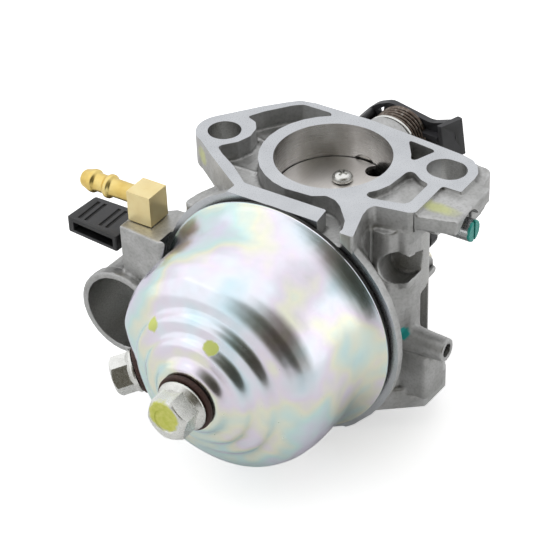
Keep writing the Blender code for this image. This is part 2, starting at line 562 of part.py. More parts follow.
def build_choke_lever(black):
    """The plastic choke lever: hub, cover plate over the spring, a claw on the left and a vane."""
    hub = rod((0, CHOKE_Y, 31.2), (0, CHOKE_Y, 40.6), 5.6, 24)
    plate = prism(rounded([(-12.4, 14.6), (-13, 10.2), (-8.8, 6.3), (-4.2, 4.4), (8.8, 7.2), (15.6, 4.9),
                           (17, 10.5), (11, 16), (4, 20.4), (-5, 20)], 1.5), "z", 37.2, 39.2)
    claw = prism(rounded([(-12.4, 14.6), (-13, 10.2), (-10, 7.6), (-8.7, 9), (-9.6, 14)], 0.8), "z", 32, 38)
    vane = prism([(12.8, 33.2), (14.2, 33.0), (17.1, 40.2), (15.4, 40.6)], "y", 4.7, 15.6)
    lean = Matrix.Identity(4)
    lean[0][1], lean[0][3] = VANE_LEAN, -4.7 * VANE_LEAN
    vane.transform(lean)
    bore_hole = rod((0, CHOKE_Y, 30), (0, CHOKE_Y, 46), clear_of(SHAFT_R, GAP, 20), 20)
    window = prism([(-8.4, 8.0), (-6.2, 6.4), (-6.4, 8.2), (-8, 9.4)], "z", 36, 44)
    piece("choke_lever", black, hub, add(plate, claw, vane), cut(bore_hole, window), pivot=(0, CHOKE_Y, 0))


def build_throttle(steel, brass, plated, zinc, felt):
    shaft = rod((0, THROTTLE_Y, -16.4), (0, THROTTLE_Y, 35), SHAFT_R, 20)
    flat = box((-4, THROTTLE_Y + 0.2, -THROTTLE_R - 0.2), (4, THROTTLE_Y + 6, THROTTLE_R + 0.2))
    hole = rod((0, THROTTLE_Y - 5, 0), (0, THROTTLE_Y + 5, 0), 1.8, 12)
    piece("throttle_shaft", steel, shaft, cut(flat, hole), pivot=(0, THROTTLE_Y, 0))
    plate_y = THROTTLE_Y + 0.2 + GAP
    disc, holes = valve_disc(plate_y, THROTTLE_R - 0.25, PLATE, [(0, 0)])
    piece("throttle_plate", brass, disc, cut(*holes), pivot=(0, THROTTLE_Y, 0))
    pan_screw("throttle_plate_screw", plated, (0, plate_y + PLATE + GAP, 0), 1)
    piece("throttle_seal", felt, washer((0, THROTTLE_Y, 26.3), (0, 0, 1), 1.6, 3.5, 5.8, 20))
    arm = prism(rounded([(-6, 44), (-12, 49), (-22, 52.6), (-25, 57), (-22, 61), (-8, 57.5), (6, 56),
                         (13, 49.6), (13.2, 46.4), (6, 43.6)], 2.4), "z", 29.6, 31.4)
    collar = rod((0, THROTTLE_Y, 28.3), (0, THROTTLE_Y, 33.2), 5.0, 20)
    cuts = [rod((0, THROTTLE_Y, 26), (0, THROTTLE_Y, 37), clear_of(SHAFT_R, GAP, 20), 20),
            rod((-21.2, 56.8, 28), (-21.2, 56.8, 33), 1.3, 12),
            rod((-15, 54.8, 28), (-15, 54.8, 33), 1.0, 12)]
    tab = box((IDLE_XZ[0] - 2, IDLE_TIP_Y + 0.12, 22), (IDLE_XZ[0] + 2, IDLE_TIP_Y + 1.6, 30.4))
    piece("throttle_lever", zinc, arm, add(collar, tab), cut(*cuts), pivot=(0, THROTTLE_Y, 0))


# ---------------------------------------------------------------- adjusters and inlet

def build_adjusters(plated, cap_plastic, steel):
    tip_x = PILOT_TIP_X
    stem = turned([(0, 0), (0, PILOT_R), (9.6, PILOT_R), (10, 1.6), (16, 1.2), (17, 0)],
                  (tip_x, *PILOT_AXIS), (-1, 0, 0), 20)
    slot = box((tip_x - 1.2, PILOT_AXIS[0] - 4, PILOT_AXIS[1] - 0.45),
               (tip_x + 2, PILOT_AXIS[0] + 4, PILOT_AXIS[1] + 0.45))
    piece("pilot_screw", plated, stem, cut(slot), pivot=(tip_x, *PILOT_AXIS))
    jet = turned([(0, 0), (0, 2.4), (18.2, 2.4), (18.2, 4.2), (22.2, 4.2), (22.8, 3.4), (22.8, 0)],
                 (*JET_XY, -8), (0, 0, 1), 20)
    piece("pilot_jet", cap_plastic, jet, cut(rod((*JET_XY, -10), (*JET_XY, 4), 0.7, 8)))
    x, z = IDLE_XZ
    screw = turned([(0, 0), (0, 1.2), (2, 2.0), (20.8, 2.0), (20.8, 3.8), (24.4, 3.8), (24.4, 0)],
                   (x, IDLE_TIP_Y, z), (0, -1, 0), 20)
    slot = box((x - 5, IDLE_TIP_Y - 27, z - 0.5), (x + 5, IDLE_TIP_Y - 23.6, z + 0.5))
    piece("idle_stop_screw", plated, screw, cut(slot), pivot=(x, IDLE_TIP_Y, z))
    piece("idle_stop_spring", steel, coil((x, IDLE_TIP_Y - 20.3, z), "y", 2.9, 3.0, 4, 0.36, 10))


def build_inlet(brass, black, rubber):
    x, y, z = ELBOW
    cube = box((x - 3.8, y - 4.6, z - 3.9), (x + 3.8, y + 4.6, z + 3.9))
    thread = rod((x, y, z), (x, 22.2, z), 2.9, 16)
    nipple_y = y - 1.2
    nipple = turned([(0, 0), (0, 2.6), (7.8, 2.6), (8.4, 3.4), (9.4, 3.4), (10.4, 2.6), (13.2, 2.6),
                     (13.8, 3.3), (14.8, 3.3), (17.6, 2.4), (18.2, 1.8), (18.2, 0)],
                    (x - 3.2, nipple_y, z), (-1, 0, 0), 20)
    ways = [rod((x, 27, z), (x, nipple_y, z), 1.5, 12),
            rod((x - 25, nipple_y, z), (x + 0.4, nipple_y, z), 1.5, 12)]
    piece("fuel_elbow", brass, cube, add(thread, nipple), cut(*ways))
    build_valve_lever(black)
    piece("fuel_valve_seal", rubber, washer((-48.2, *VALVE_AXIS), (1, 0, 0), 2.0, 2.75, 4.4, 20))


def build_valve_lever(black):
    """The ribbed fuel-valve lever: a flat grip along the stem, hollowed from below."""
    y, z = VALVE_AXIS
    outer_end, inner_end = -68.6, -50.6
    grip = prism(rounded([(outer_end, z - 5.8), (outer_end + 0.9, z + 6.2), (inner_end, z + 6.3),
                          (inner_end, z - 7.2)], 0.8), "y", y - 2.4, y + 2.4)
    hollow = prism([(outer_end + 2, z - 9), (inner_end - 1.4, z - 9), (inner_end - 1.4, z + 3.8),
                    (outer_end + 2.6, z + 3.8)], "y", y - 1.2, y + 1.4)
    grooves = [box((x, y - 4, z - 4.6), (x + 1.0, y - 1.9, z + 4.6)) for x in (-65.6, -63.4, -58.4, -56.2)]
    stem = rod((inner_end - 1, y, z), (-40.4, y, z), 2.4, 20)
    cross_way = rod((-42.6, y, z - 4), (-42.6, y, z + 4), 1.1, 10)
    piece("fuel_valve_lever", black, grip, cut(hollow, *grooves), add(stem), cut(cross_way),
          pivot=(-50, y, z))


def clear_scene():
    for leftover in list(bpy.data.objects):
        bpy.data.objects.remove(leftover)


def main():
    clear_scene()
    aluminium = paint("cast_aluminium", (0.60, 0.61, 0.62), 0.45, 0.9)
    zinc = paint("yellow_zinc", (0.72, 0.74, 0.68), 0.22, 1.0)
    plated = paint("bright_zinc", (0.80, 0.81, 0.80), 0.2, 1.0)
    steel = paint("steel", (0.55, 0.54, 0.52), 0.35, 1.0)
    dark_steel = paint("spring_steel", (0.42, 0.36, 0.30), 0.35, 1.0)
    brass = paint("brass", (0.83, 0.66, 0.33), 0.3, 1.0)
    black = paint("black_plastic", (0.03, 0.03, 0.035), 0.5, 0.0)
    rubber = paint("rubber", (0.04, 0.04, 0.04), 0.7, 0.0)
    fibre = paint("red_fibre", (0.30, 0.11, 0.07), 0.6, 0.0)
    felt = paint("felt", (0.25, 0.22, 0.18), 0.9, 0.0)
    build_body(aluminium)
    build_bowl(zinc, fibre, plated, rubber)
    build_jets(brass, steel)
    build_float(black, steel)
    build_choke(steel, plated, plated, black)
    build_throttle(steel, brass, plated, zinc, felt)
    build_adjusters(plated, black, dark_steel)
    build_inlet(brass, black, rubber)


main()
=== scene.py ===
"""The float-bowl carburetor's looks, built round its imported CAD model.

Lengths are millimetres from the point where the bore axis meets the air-cleaner face: +Y runs down
the bore, +Z is up on the engine and +X is the pilot-screw side. TO_FRAME carries them into the
frame's metres.
"""

import json
import math

import bmesh
import bpy
from mathutils import Matrix, Vector


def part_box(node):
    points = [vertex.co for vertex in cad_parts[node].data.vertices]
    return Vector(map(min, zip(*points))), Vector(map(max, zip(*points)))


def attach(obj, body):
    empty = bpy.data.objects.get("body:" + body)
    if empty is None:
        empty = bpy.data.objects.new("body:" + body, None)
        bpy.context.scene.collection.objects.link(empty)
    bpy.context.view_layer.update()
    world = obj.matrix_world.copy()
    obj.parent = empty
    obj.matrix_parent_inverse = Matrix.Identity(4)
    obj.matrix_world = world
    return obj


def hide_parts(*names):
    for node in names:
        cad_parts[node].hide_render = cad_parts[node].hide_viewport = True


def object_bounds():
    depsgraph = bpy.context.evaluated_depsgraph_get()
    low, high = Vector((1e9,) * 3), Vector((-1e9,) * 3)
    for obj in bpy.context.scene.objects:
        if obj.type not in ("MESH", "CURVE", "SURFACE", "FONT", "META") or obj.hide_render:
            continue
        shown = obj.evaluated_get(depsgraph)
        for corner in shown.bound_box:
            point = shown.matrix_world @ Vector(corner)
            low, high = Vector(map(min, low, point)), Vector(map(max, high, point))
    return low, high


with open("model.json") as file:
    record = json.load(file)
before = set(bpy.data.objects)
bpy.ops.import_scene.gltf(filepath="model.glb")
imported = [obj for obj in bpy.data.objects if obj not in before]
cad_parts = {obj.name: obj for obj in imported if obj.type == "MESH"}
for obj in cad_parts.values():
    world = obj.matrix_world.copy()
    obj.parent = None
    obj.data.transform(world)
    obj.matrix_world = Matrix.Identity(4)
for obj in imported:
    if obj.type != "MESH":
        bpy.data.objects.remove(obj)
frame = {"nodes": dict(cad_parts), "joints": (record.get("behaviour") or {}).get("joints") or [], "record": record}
CAD_BOX = [list(corner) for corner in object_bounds()]

MM = 0.001
BORE_AT = sum(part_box("choke_plate"), Vector()) / 2
TO_FRAME = Matrix.Translation((BORE_AT.x, 0, BORE_AT.z)) @ Matrix.Scale(MM, 4)
TO_MM = TO_FRAME.inverted()


def extent(node):
    """Lowest and highest corner of a CAD node, in millimetres."""
    low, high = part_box(node)
    return TO_MM @ low, TO_MM @ high


def joint_at(name):
    """A point on a joint's axis, in millimetres."""
    return next(TO_MM @ Vector(joint["pos_m"]) for joint in frame["joints"] if joint["name"] == name)


# Driving dimensions, as in the CAD model
LENGTH = 64.0
BORE_R = 15.9
BOWL_LOW, BOWL_HIGH = extent("float_bowl")
BOWL_Y = (BOWL_LOW.y + BOWL_HIGH.y) / 2
BOWL_FACE_Z = -28.4
RIM_R = (BOWL_HIGH.y - BOWL_LOW.y) / 2
WALL_R = 31.0
SHEET = 1.0
CHOKE_Y = joint_at("choke_hinge").y
THROTTLE_Y = joint_at("throttle_hinge").y
SHAFT_R = 3.0
STUD_LEFT = (-32.0, -4.0)
STUD_RIGHT = (29.2, 9.1)
ENGINE_STUD = (27.8, -2.6)
STUD_HOLE_R = 4.6
STUD_HOLE_SHIFT = 0.9           # how far the right-hand hole's round ends stand from its middle
MACHINING_STOCK = 1.5           # metal that the face cutters take off again
VALVE_AT = joint_at("fuel_valve_hinge")
PILOT_AT = joint_at("pilot_screw_turn")
IDLE_AT = joint_at("idle_screw_turn")
VENT_AXIS = (42.5, -10.0)
CUP_CENTRE = (-48.0, 47.6)
CUP_RIM_Z = -36.0
CUP_R = 11.35
ELBOW = (-43.2, 14.6, -25.9)
JET_XY = (20.2, 25.6)
CHOKE_SCREW_Z = 4.5
DRAIN_SEAT = Vector((-24.5, 43.0, -56.2))
DRAIN_AXIS = Vector((-0.74, 0.27, -0.615)).normalized()


# ---------------------------------------------------------------- mesh helpers

def placed(axis, u, v, along):
    """A point u, v across the axis and some way along it."""
    return Vector({"x": (along, u, v), "y": (u, along, v), "z": (u, v, along)}[axis])


def mesh_of(bm):
    bmesh.ops.recalc_face_normals(bm, faces=bm.faces)
    mesh = bpy.data.meshes.new("shape")
    bm.to_mesh(mesh)
    bm.free()
    return mesh


def prism(outline, axis, low, high):
    """The outline, drawn across the axis, carried from low to high."""
    bm = bmesh.new()
    face = bm.faces.new([bm.verts.new(placed(axis, u, v, low)) for u, v in outline])
    grown = bmesh.ops.extrude_face_region(bm, geom=[face])["geom"]
    far_end = [item for item in grown if isinstance(item, bmesh.types.BMVert)]
    bmesh.ops.translate(bm, verts=far_end, vec=placed(axis, 0, 0, high - low))
    return mesh_of(bm)


def block(low, high):
    (x0, y0, z0), (x1, y1, z1) = low, high
    return prism([(x0, y0), (x1, y0), (x1, y1), (x0, y1)], "z", z0, z1)


def turned(profile, start, direction, segments=72, ring=False):
    """A solid turned about the line from start along direction.

    The profile lists (distance along, radius). Unless it is a ring, it begins and ends on the axis.
    """
    axis = Vector(direction).normalized()
    side = axis.orthogonal().normalized() if abs(axis.x) + abs(axis.y) > 1e-6 else Vector((1, 0, 0))
    other = axis.cross(side)
    bm = bmesh.new()
    rows = []
    for along, radius in profile:
        centre = Vector(start) + axis * along
        if radius < 1e-6:
            rows.append([bm.verts.new(centre)])
            continue
        angles = [2 * math.pi * (step + 0.27) / segments for step in range(segments)]
        rows.append([bm.verts.new(centre + (side * math.cos(a) + other * math.sin(a)) * radius)
                     for a in angles])
    pairs = list(zip(rows, rows[1:]))
    if ring:
        pairs.append((rows[-1], rows[0]))
    for near, far in pairs:
        for step in range(segments):
            after = (step + 1) % segments
            corners = [near[step % len(near)], near[after % len(near)],
                       far[after % len(far)], far[step % len(far)]]
            bm.faces.new(list(dict.fromkeys(corners)))
    return mesh_of(bm)


def rod(start, end, radius, segments=48):
    direction = Vector(end) - Vector(start)
    length = direction.length
    return turned([(0, 0), (0, radius), (length, radius), (length, 0)], start, direction, segments)


def washer(start, direction, thickness, inner, outer, segments=72):
    profile = [(0, inner), (0, outer), (thickness, outer), (thickness, inner)]
    return turned(profile, start, direction, segments, ring=True)


def arc(centre, radius, start, end, steps):
    """Points on an arc, with its ends given in degrees."""
    angles = [math.radians(start + (end - start) * step / steps) for step in range(steps + 1)]
    return [(centre[0] + radius * math.cos(a), centre[1] + radius * math.sin(a)) for a in angles]


def bend(before, corner, after, radius, steps):
    """Points that round the corner between its two neighbours."""
    corner = Vector(corner)
    back = Vector(before) - corner
    ahead = Vector(after) - corner
    reach = min(radius, 0.45 * back.length, 0.45 * ahead.length)
    start = corner + back.normalized() * reach
    end = corner + ahead.normalized() * reach
    shares = [step / steps for step in range(steps + 1)]
    return [tuple(start * (1 - t) ** 2 + corner * 2 * t * (1 - t) + end * t ** 2) for t in shares]


def rounded(points, radius, steps=6):
    """The closed outline with each corner rounded off."""
    result = []
    for index, point in enumerate(points):
        result += bend(points[index - 1], point, points[(index + 1) % len(points)], radius, steps)
    return result


def rounded_path(points, radius, steps=6):
    """The open path with each inner corner rounded off."""
    result = [points[0]]
    for before, point, after in zip(points, points[1:], points[2:]):
        result += bend(before, point, after, radius, steps)
    return result + [points[-1]]


def swept(path, radius, sides=14):
    """A wire of round section along a path of points."""
    points = [Vector(point) for point in path]
    bm = bmesh.new()
    rings = []
    normal = (points[1] - points[0]).orthogonal().normalized()
    for index, point in enumerate(points):
        tangent = (points[min(index + 1, len(points) - 1)] - points[max(index - 1, 0)]).normalized()
        normal = (normal - tangent * normal.dot(tangent)).normalized()
        binormal = tangent.cross(normal)
        angles = [2 * math.pi * side / sides for side in range(sides)]
        rings.append([bm.verts.new(point + (normal * math.cos(a) + binormal * math.sin(a)) * radius)
                      for a in angles])
    for near, far in zip(rings, rings[1:]):
        for side in range(sides):
            after = (side + 1) % sides
            bm.faces.new([near[side], near[after], far[after], far[side]])
    bm.faces.new(rings[0][::-1])
    bm.faces.new(rings[-1])
    return mesh_of(bm)


def coil(centre, axis, radius, length, turns, wire, steps=40):
    """A coil spring whose last turn at each end lies flat."""
    total = round(turns * steps)
    flat = steps * 0.8
    points = []
    for step in range(total + 1):
        angle = 2 * math.pi * step / steps
        share = min(max((step - flat) / (total - 2 * flat), 0), 1)
        along = wire + (length - 2 * wire) * (share * 0.9 + 0.1 * step / total)
        u, v = radius * math.cos(angle), radius * math.sin(angle)
        offset = {"x": (along, u, v), "y": (v, along, u), "z": (u, v, along)}[axis]
        points.append(Vector(centre) + Vector(offset))
    return swept(points, wire)


def temporary(mesh):
    obj = bpy.data.objects.new("working", mesh)
    bpy.context.scene.collection.objects.link(obj)
    return obj


def settled(obj):
    """Puts the object's evaluated mesh in place of its modifiers."""
    bpy.context.view_layer.update()
    graph = bpy.context.evaluated_depsgraph_get()
    mesh = bpy.data.meshes.new_from_object(obj.evaluated_get(graph))
    obj.modifiers.clear()
    obj.data = mesh


def combined(obj, operation, meshes, solver="EXACT"):
    """Joins each mesh to the object, takes it away or keeps what both share."""
    for mesh in meshes:
        tool = temporary(mesh)
        modifier = obj.modifiers.new("tool", "BOOLEAN")
        modifier.operation = operation
        modifier.solver = solver
        modifier.object = tool
        settled(obj)
        bpy.data.objects.remove(tool)


def shaped(first, *steps):
    """The first mesh, with each step's meshes joined to it, taken away or intersected in turn."""
    obj = temporary(first)
    for operation, meshes in steps:
        combined(obj, operation, meshes)
    mesh = obj.data
    bpy.data.objects.remove(obj)
    bm = bmesh.new()
    bm.from_mesh(mesh)
    bmesh.ops.dissolve_limit(bm, angle_limit=math.radians(0.2), verts=bm.verts, edges=bm.edges)
    bm.to_mesh(mesh)
    bm.free()
    return mesh


def add(*meshes):
    return "UNION", list(meshes)


def cut(*meshes):
    return "DIFFERENCE", list(meshes)


def common(*meshes):
    return "INTERSECT", list(meshes)


def body_of(node):
    """The CAD body that a node belongs to."""
    bodies = frame["record"]["behaviour"]["bodies"]
    return next(body for body, members in bodies.items() if node in members)


def soften(obj, width, steps=2):
    """Rounds the object's sharp edges by width millimetres and evens its shading."""
    if width:
        bevel = obj.modifiers.new("soft_edges", "BEVEL")
        bevel.width = width * MM
        bevel.segments = steps
        bevel.limit_method = "ANGLE"
        bevel.angle_limit = math.radians(32)
    normals = obj.modifiers.new("even_shading", "WEIGHTED_NORMAL")
    normals.mode = "FACE_AREA"
    normals.weight = 80


def piece(node, look, mesh, edge=0.2):
    """The finished piece that stands for a CAD node."""
    obj = bpy.data.objects.new(node + "_finished", mesh)
    bpy.context.scene.collection.objects.link(obj)
    mesh.transform(TO_FRAME)
    mesh.materials.clear()
    mesh.materials.append(look)
    mesh.shade_smooth()
    soften(obj, edge)
    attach(obj, body_of(node))
    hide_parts(node)
    return obj


def dress(node, look, edge=0.15):
    """A CAD node that is shown as it is, with softened edges and its material."""
    obj = frame["nodes"][node]
    obj.data.materials.clear()
    obj.data.materials.append(look)
    obj.data.shade_smooth()
    weld = obj.modifiers.new("one_skin", "WELD")
    weld.merge_threshold = 0.001 * MM
    soften(obj, edge)


# ---------------------------------------------------------------- materials

class Finish:
    """A material whose node textures are measured in millimetres."""

    def __init__(self, name, roughness, metallic):
        self.material = bpy.data.materials.new(name)
        self.material.use_nodes = True
        self.tree = self.material.node_tree
        self.shader = self.tree.nodes["Principled BSDF"]
        self.give("Roughness", roughness)
        self.give("Metallic", metallic)
        self.place = self.node("ShaderNodeMapping")
        self.place.inputs["Scale"].default_value = (1 / MM, 1 / MM, 1 / MM)
        self.place.inputs["Location"].default_value = (-BORE_AT.x / MM, 0, -BORE_AT.z / MM)
        self.feed(self.place, "Vector", self.node("ShaderNodeTexCoord").outputs["Object"])

    def node(self, kind, **settings):
        made = self.tree.nodes.new(kind)
        for name, setting in settings.items():
            setattr(made, name, setting)
        return made

    def feed(self, node, entry, source):
        """Links an output to a node's input, or sets the input to a plain value."""
        if isinstance(source, bpy.types.NodeSocket):
            self.tree.links.new(source, node.inputs[entry])
        else:
            node.inputs[entry].default_value = source

    def give(self, entry, source):
        self.feed(self.shader, entry, source)

    def noise(self, size, detail=3.0, stretch=(1, 1, 1), harshness=0.5):
        """Noise with lumps of about this size, drawn out where stretch is under 1."""
        scaled = self.node("ShaderNodeVectorMath", operation="MULTIPLY")
        self.feed(scaled, 0, self.place.outputs["Vector"])
        self.feed(scaled, 1, stretch)
        made = self.node("ShaderNodeTexNoise")
        self.feed(made, "Vector", scaled.outputs["Vector"])
        self.feed(made, "Scale", 1 / size)
        self.feed(made, "Detail", detail)
        self.feed(made, "Roughness", harshness)
        return made.outputs["Fac"]

    def ramp(self, factor, *stops):
        """Colour against the factor, from stops of (place, colour)."""
        made = self.node("ShaderNodeValToRGB")
        elements = made.color_ramp.elements
        while len(elements) < len(stops):
            elements.new(0.5)
        for element, (place, colour) in zip(elements, stops):
            element.position = place
            element.color = (*colour, 1)
        self.feed(made, "Fac", factor)
        return made.outputs["Color"]

    def level(self, factor, low, high, start=0.0, end=1.0):
        """The factor between start and end, carried to low and high."""
        made = self.node("ShaderNodeMapRange")
        self.feed(made, "Value", factor)
        self.feed(made, "From Min", start)
        self.feed(made, "From Max", end)
        self.feed(made, "To Min", low)
        self.feed(made, "To Max", high)
        return made.outputs["Result"]

    def sum(self, operation, first, second):
        made = self.node("ShaderNodeMath", operation=operation)
        self.feed(made, 0, first)
        self.feed(made, 1, second)
        return made.outputs["Value"]

    def blend(self, factor, first, second):
        """First colour where the factor is 0, second where it is 1."""
        made = self.node("ShaderNodeMix", data_type="RGBA")
        self.feed(made, "Factor", factor)
        self.feed(made, 6, first if isinstance(first, bpy.types.NodeSocket) else (*first, 1))
        self.feed(made, 7, second if isinstance(second, bpy.types.NodeSocket) else (*second, 1))
        return made.outputs[2]

    def spot(self, centre, radius, edge=0.25, stretch=(1, 1, 1)):
        """1 within radius of the centre, with a slightly uneven edge."""
        away = self.node("ShaderNodeVectorMath", operation="SUBTRACT")
        self.feed(away, 0, self.place.outputs["Vector"])
        self.feed(away, 1, centre)
        scaled = self.node("ShaderNodeVectorMath", operation="MULTIPLY")
        self.feed(scaled, 0, away.outputs["Vector"])
        self.feed(scaled, 1, stretch)
        length = self.node("ShaderNodeVectorMath", operation="LENGTH")
        self.feed(length, 0, scaled.outputs["Vector"])
        wobble = self.level(self.noise(1.6), -0.8, 0.8)
        reach = self.sum("ADD", length.outputs["Value"], wobble)
        return self.level(reach, 1.0, 0.0, radius - edge, radius + edge)

    def along(self, axis):
        """The coordinate along x, y or z."""
        made = self.node("ShaderNodeSeparateXYZ")
        self.feed(made, "Vector", self.place.outputs["Vector"])
        return made.outputs[axis.upper()]

    def facing(self):
        made = self.node("ShaderNodeLayerWeight")
        self.feed(made, "Blend", 0.5)
        return made.outputs["Facing"]

    def hollows(self):
        """1 in concave corners, 0 elsewhere."""
        made = self.node("ShaderNodeNewGeometry")
        return self.level(made.outputs["Pointiness"], 1.0, 0.0, 0.44, 0.495)

    def ridges(self):
        """1 on convex edges, 0 elsewhere."""
        made = self.node("ShaderNodeNewGeometry")
        return self.level(made.outputs["Pointiness"], 0.0, 1.0, 0.52, 0.58)

    def relief(self, *layers):
        """Bump from (height, millimetres) layers."""
        normal = None
        for height, depth in layers:
            made = self.node("ShaderNodeBump")
            self.feed(made, "Distance", depth * MM)
            self.feed(made, "Height", height)
            if normal:
                self.feed(made, "Normal", normal)
            normal = made.outputs["Normal"]
        self.give("Normal", normal)


def cast_metal():
    """Die-cast aluminium: grey and satin, mottled and grainy, with painted shade in its concave corners and a
    painted highlight on its convex edges.
    """
    f = Finish("cast_aluminium_skin", 0.45, 1.0)
    mottle = f.noise(7, 4)
    flecks = f.noise(0.8, 3)
    colour = f.ramp(mottle, (0.3, (0.41, 0.41, 0.405)), (0.5, (0.51, 0.51, 0.505)),
                    (0.7, (0.60, 0.60, 0.60)))
    colour = f.blend(f.level(flecks, 0, 0.35, 0.45, 0.75), colour, (0.22, 0.22, 0.21))
    # painted shade: concave corners darkened almost to black
    colour = f.blend(f.sum("MULTIPLY", f.hollows(), 0.85), colour, (0.06, 0.058, 0.055))
    # painted highlight: convex edges lightened
    colour = f.blend(f.sum("MULTIPLY", f.ridges(), 0.5), colour, (0.72, 0.73, 0.74))
    paint = f.sum("MAXIMUM", f.spot((-33.8, 4.4, -12.1), 2.3, 0.8),
                  f.spot((35.4, 0.9, -6.4), 2.6, 1.2, (0.55, 1, 1.4)))
    colour = f.blend(f.sum("MULTIPLY", paint, 0.6), colour, (0.66, 0.70, 0.20))
    teal = f.spot((28.9, 39.5, -12.7), 1.8, 0.4)
    colour = f.blend(teal, colour, (0.02, 0.42, 0.40))
    f.give("Base Color", colour)
    f.give("Metallic", f.level(f.sum("MAXIMUM", paint, teal), 1.0, 0.3))
    f.give("Roughness", f.level(f.noise(2.2, 4), 0.36, 0.58))
    f.relief((f.noise(3.5, 2), 0.10), (f.noise(0.5, 3), 0.035))
    return f.material


def machined_metal():
    """Milled aluminium: bright, slightly blue, with a fine lay."""
    f = Finish("machined_aluminium", 0.3, 1.0)
    lay = f.noise(0.16, 2, (1, 1, 0.25))
    shade = f.noise(9, 3)
    colour = f.ramp(shade, (0.3, (0.55, 0.565, 0.59)), (0.7, (0.63, 0.645, 0.67)))
    colour = f.blend(f.level(lay, 0, 0.16, 0.5, 0.8), colour, (0.42, 0.435, 0.46))
    f.give("Base Color", colour)
    f.give("Roughness", f.level(lay, 0.24, 0.40, 0.3, 0.7))
    f.relief((lay, 0.006), (f.noise(0.12, 2), 0.004))
    return f.material


def bored_metal():
    """The bore's turned wall: satin, with fine rings along its length."""
    f = Finish("bored_aluminium", 0.3, 1.0)
    rings = f.noise(0.22, 3, (0.03, 1, 0.03))
    stain = f.noise(6, 3, (1, 0.4, 1))
    colour = f.ramp(stain, (0.3, (0.46, 0.45, 0.44)), (0.7, (0.72, 0.72, 0.72)))
    f.give("Base Color", colour)
    f.give("Roughness", f.level(rings, 0.22, 0.36, 0.3, 0.7))
    f.relief((rings, 0.006))
    return f.material


def drilled_metal():
    """Turned walls of the stud holes and of the cup seat."""
    f = Finish("drilled_aluminium", 0.38, 1.0)
    rings = f.noise(0.4, 2)
    f.give("Base Color", f.ramp(rings, (0.3, (0.42, 0.42, 0.41)), (0.7, (0.58, 0.58, 0.57))))
    f.give("Roughness", f.level(rings, 0.3, 0.45))
    f.relief((rings, 0.01))
    return f.material


def iridescent_zinc():
    """Passivated zinc on pressed steel: silver with faint drifting blue, pink, yellow and green."""
    f = Finish("iridescent_zinc", 0.2, 1.0)
    drift = f.sum("ADD", f.noise(16, 2, (1, 1, 0.8)), f.sum("MULTIPLY", f.facing(), 0.45))
    colour = f.ramp(drift, (0.38, (0.66, 0.84, 0.92)), (0.50, (0.84, 0.88, 0.96)),
                    (0.60, (0.88, 0.81, 0.92)), (0.70, (0.90, 0.90, 0.74)), (0.82, (0.68, 0.88, 0.86)),
                    (1.0, (0.82, 0.78, 0.94)))
    bloom = f.noise(3.0, 4)
    colour = f.blend(f.level(bloom, 0, 0.25, 0.45, 0.8), colour, (0.66, 0.72, 0.72))
    dots = f.sum("MAXIMUM", f.spot((-14.2, 19.2, -64.3), 1.9), f.spot((4.8, 18.2, -65.6), 2.0))
    colour = f.blend(f.sum("MULTIPLY", dots, 0.9), colour, (0.74, 0.82, 0.16))
    f.give("Base Color", colour)
    f.give("Metallic", f.level(dots, 1.0, 0.15))
    rough = f.level(f.noise(1.6, 4), 0.20, 0.30)
    f.give("Roughness", f.sum("ADD", rough, f.sum("MULTIPLY", dots, 0.3)))
    f.relief((f.noise(9, 2), 0.10), (f.noise(0.25, 2), 0.0025))
    return f.material


def bright_zinc(name, colour=(0.80, 0.80, 0.77), dot=None, sealed_from=None):
    """Zinc-plated turned steel with a painted highlight on its edges, and with an inspection dot or a sealed end
    where one is given.
    """
    f = Finish(name, 0.25, 1.0)
    wear = f.noise(2.0, 4)
    darker = tuple(0.84 * share for share in colour)
    shade = f.blend(f.level(wear, 0, 1, 0.35, 0.8), colour, darker)
    # painted highlight: convex edges lightened towards near white
    shade = f.blend(f.sum("MULTIPLY", f.ridges(), 0.5), shade, (0.92, 0.92, 0.90))
    rough = f.level(f.noise(0.7, 3), 0.18, 0.36)
    if dot:
        mask = f.spot(*dot)
        shade = f.blend(mask, shade, f.ramp(f.noise(1.2), (0.35, (0.66, 0.70, 0.10)),
                                            (0.7, (0.80, 0.80, 0.22))))
        f.give("Metallic", f.level(mask, 1.0, 0.1))
        rough = f.sum("ADD", rough, f.sum("MULTIPLY", mask, 0.25))
    if sealed_from:
        edge = f.sum("ADD", f.along("x"), f.level(f.noise(1.5), -0.5, 0.5))
        mask = f.level(edge, 0.0, 1.0, sealed_from - 0.15, sealed_from + 0.15)
        shade = f.blend(mask, shade, (0.02, 0.34, 0.29))
        f.give("Metallic", f.level(mask, 1.0, 0.2))
    f.give("Base Color", shade)
    f.give("Roughness", rough)
    f.relief((f.noise(0.3, 3), 0.006), (f.noise(1.5, 2), 0.012))
    return f.material


def shaft_steel():
    """Ground steel shafts, with fine rings round them."""
    f = Finish("shaft_steel", 0.3, 1.0)
    rings = f.noise(0.25, 3, (0.05, 0.05, 1))
    f.give("Base Color", f.ramp(rings, (0.3, (0.42, 0.41, 0.39)), (0.7, (0.60, 0.59, 0.57))))
    f.give("Roughness", f.level(rings, 0.24, 0.4, 0.3, 0.7))
    f.relief((rings, 0.005))
    return f.material


def choke_plate_brass():
    """The choke plate: a satin plate with a pale pinkish-cream cast."""
    f = Finish("choke_plate_metal", 0.38, 1.0)
    cloud = f.noise(8, 3)
    colour = f.ramp(cloud, (0.3, (0.82, 0.78, 0.75)), (0.7, (0.90, 0.87, 0.84)))
    grain = f.noise(0.3, 3, (1, 1, 0.1))
    f.give("Base Color", f.blend(f.level(grain, 0, 0.3, 0.5, 0.8), colour, (0.60, 0.55, 0.51)))
    f.give("Roughness", f.level(grain, 0.32, 0.46))
    f.relief((grain, 0.005))
    return f.material


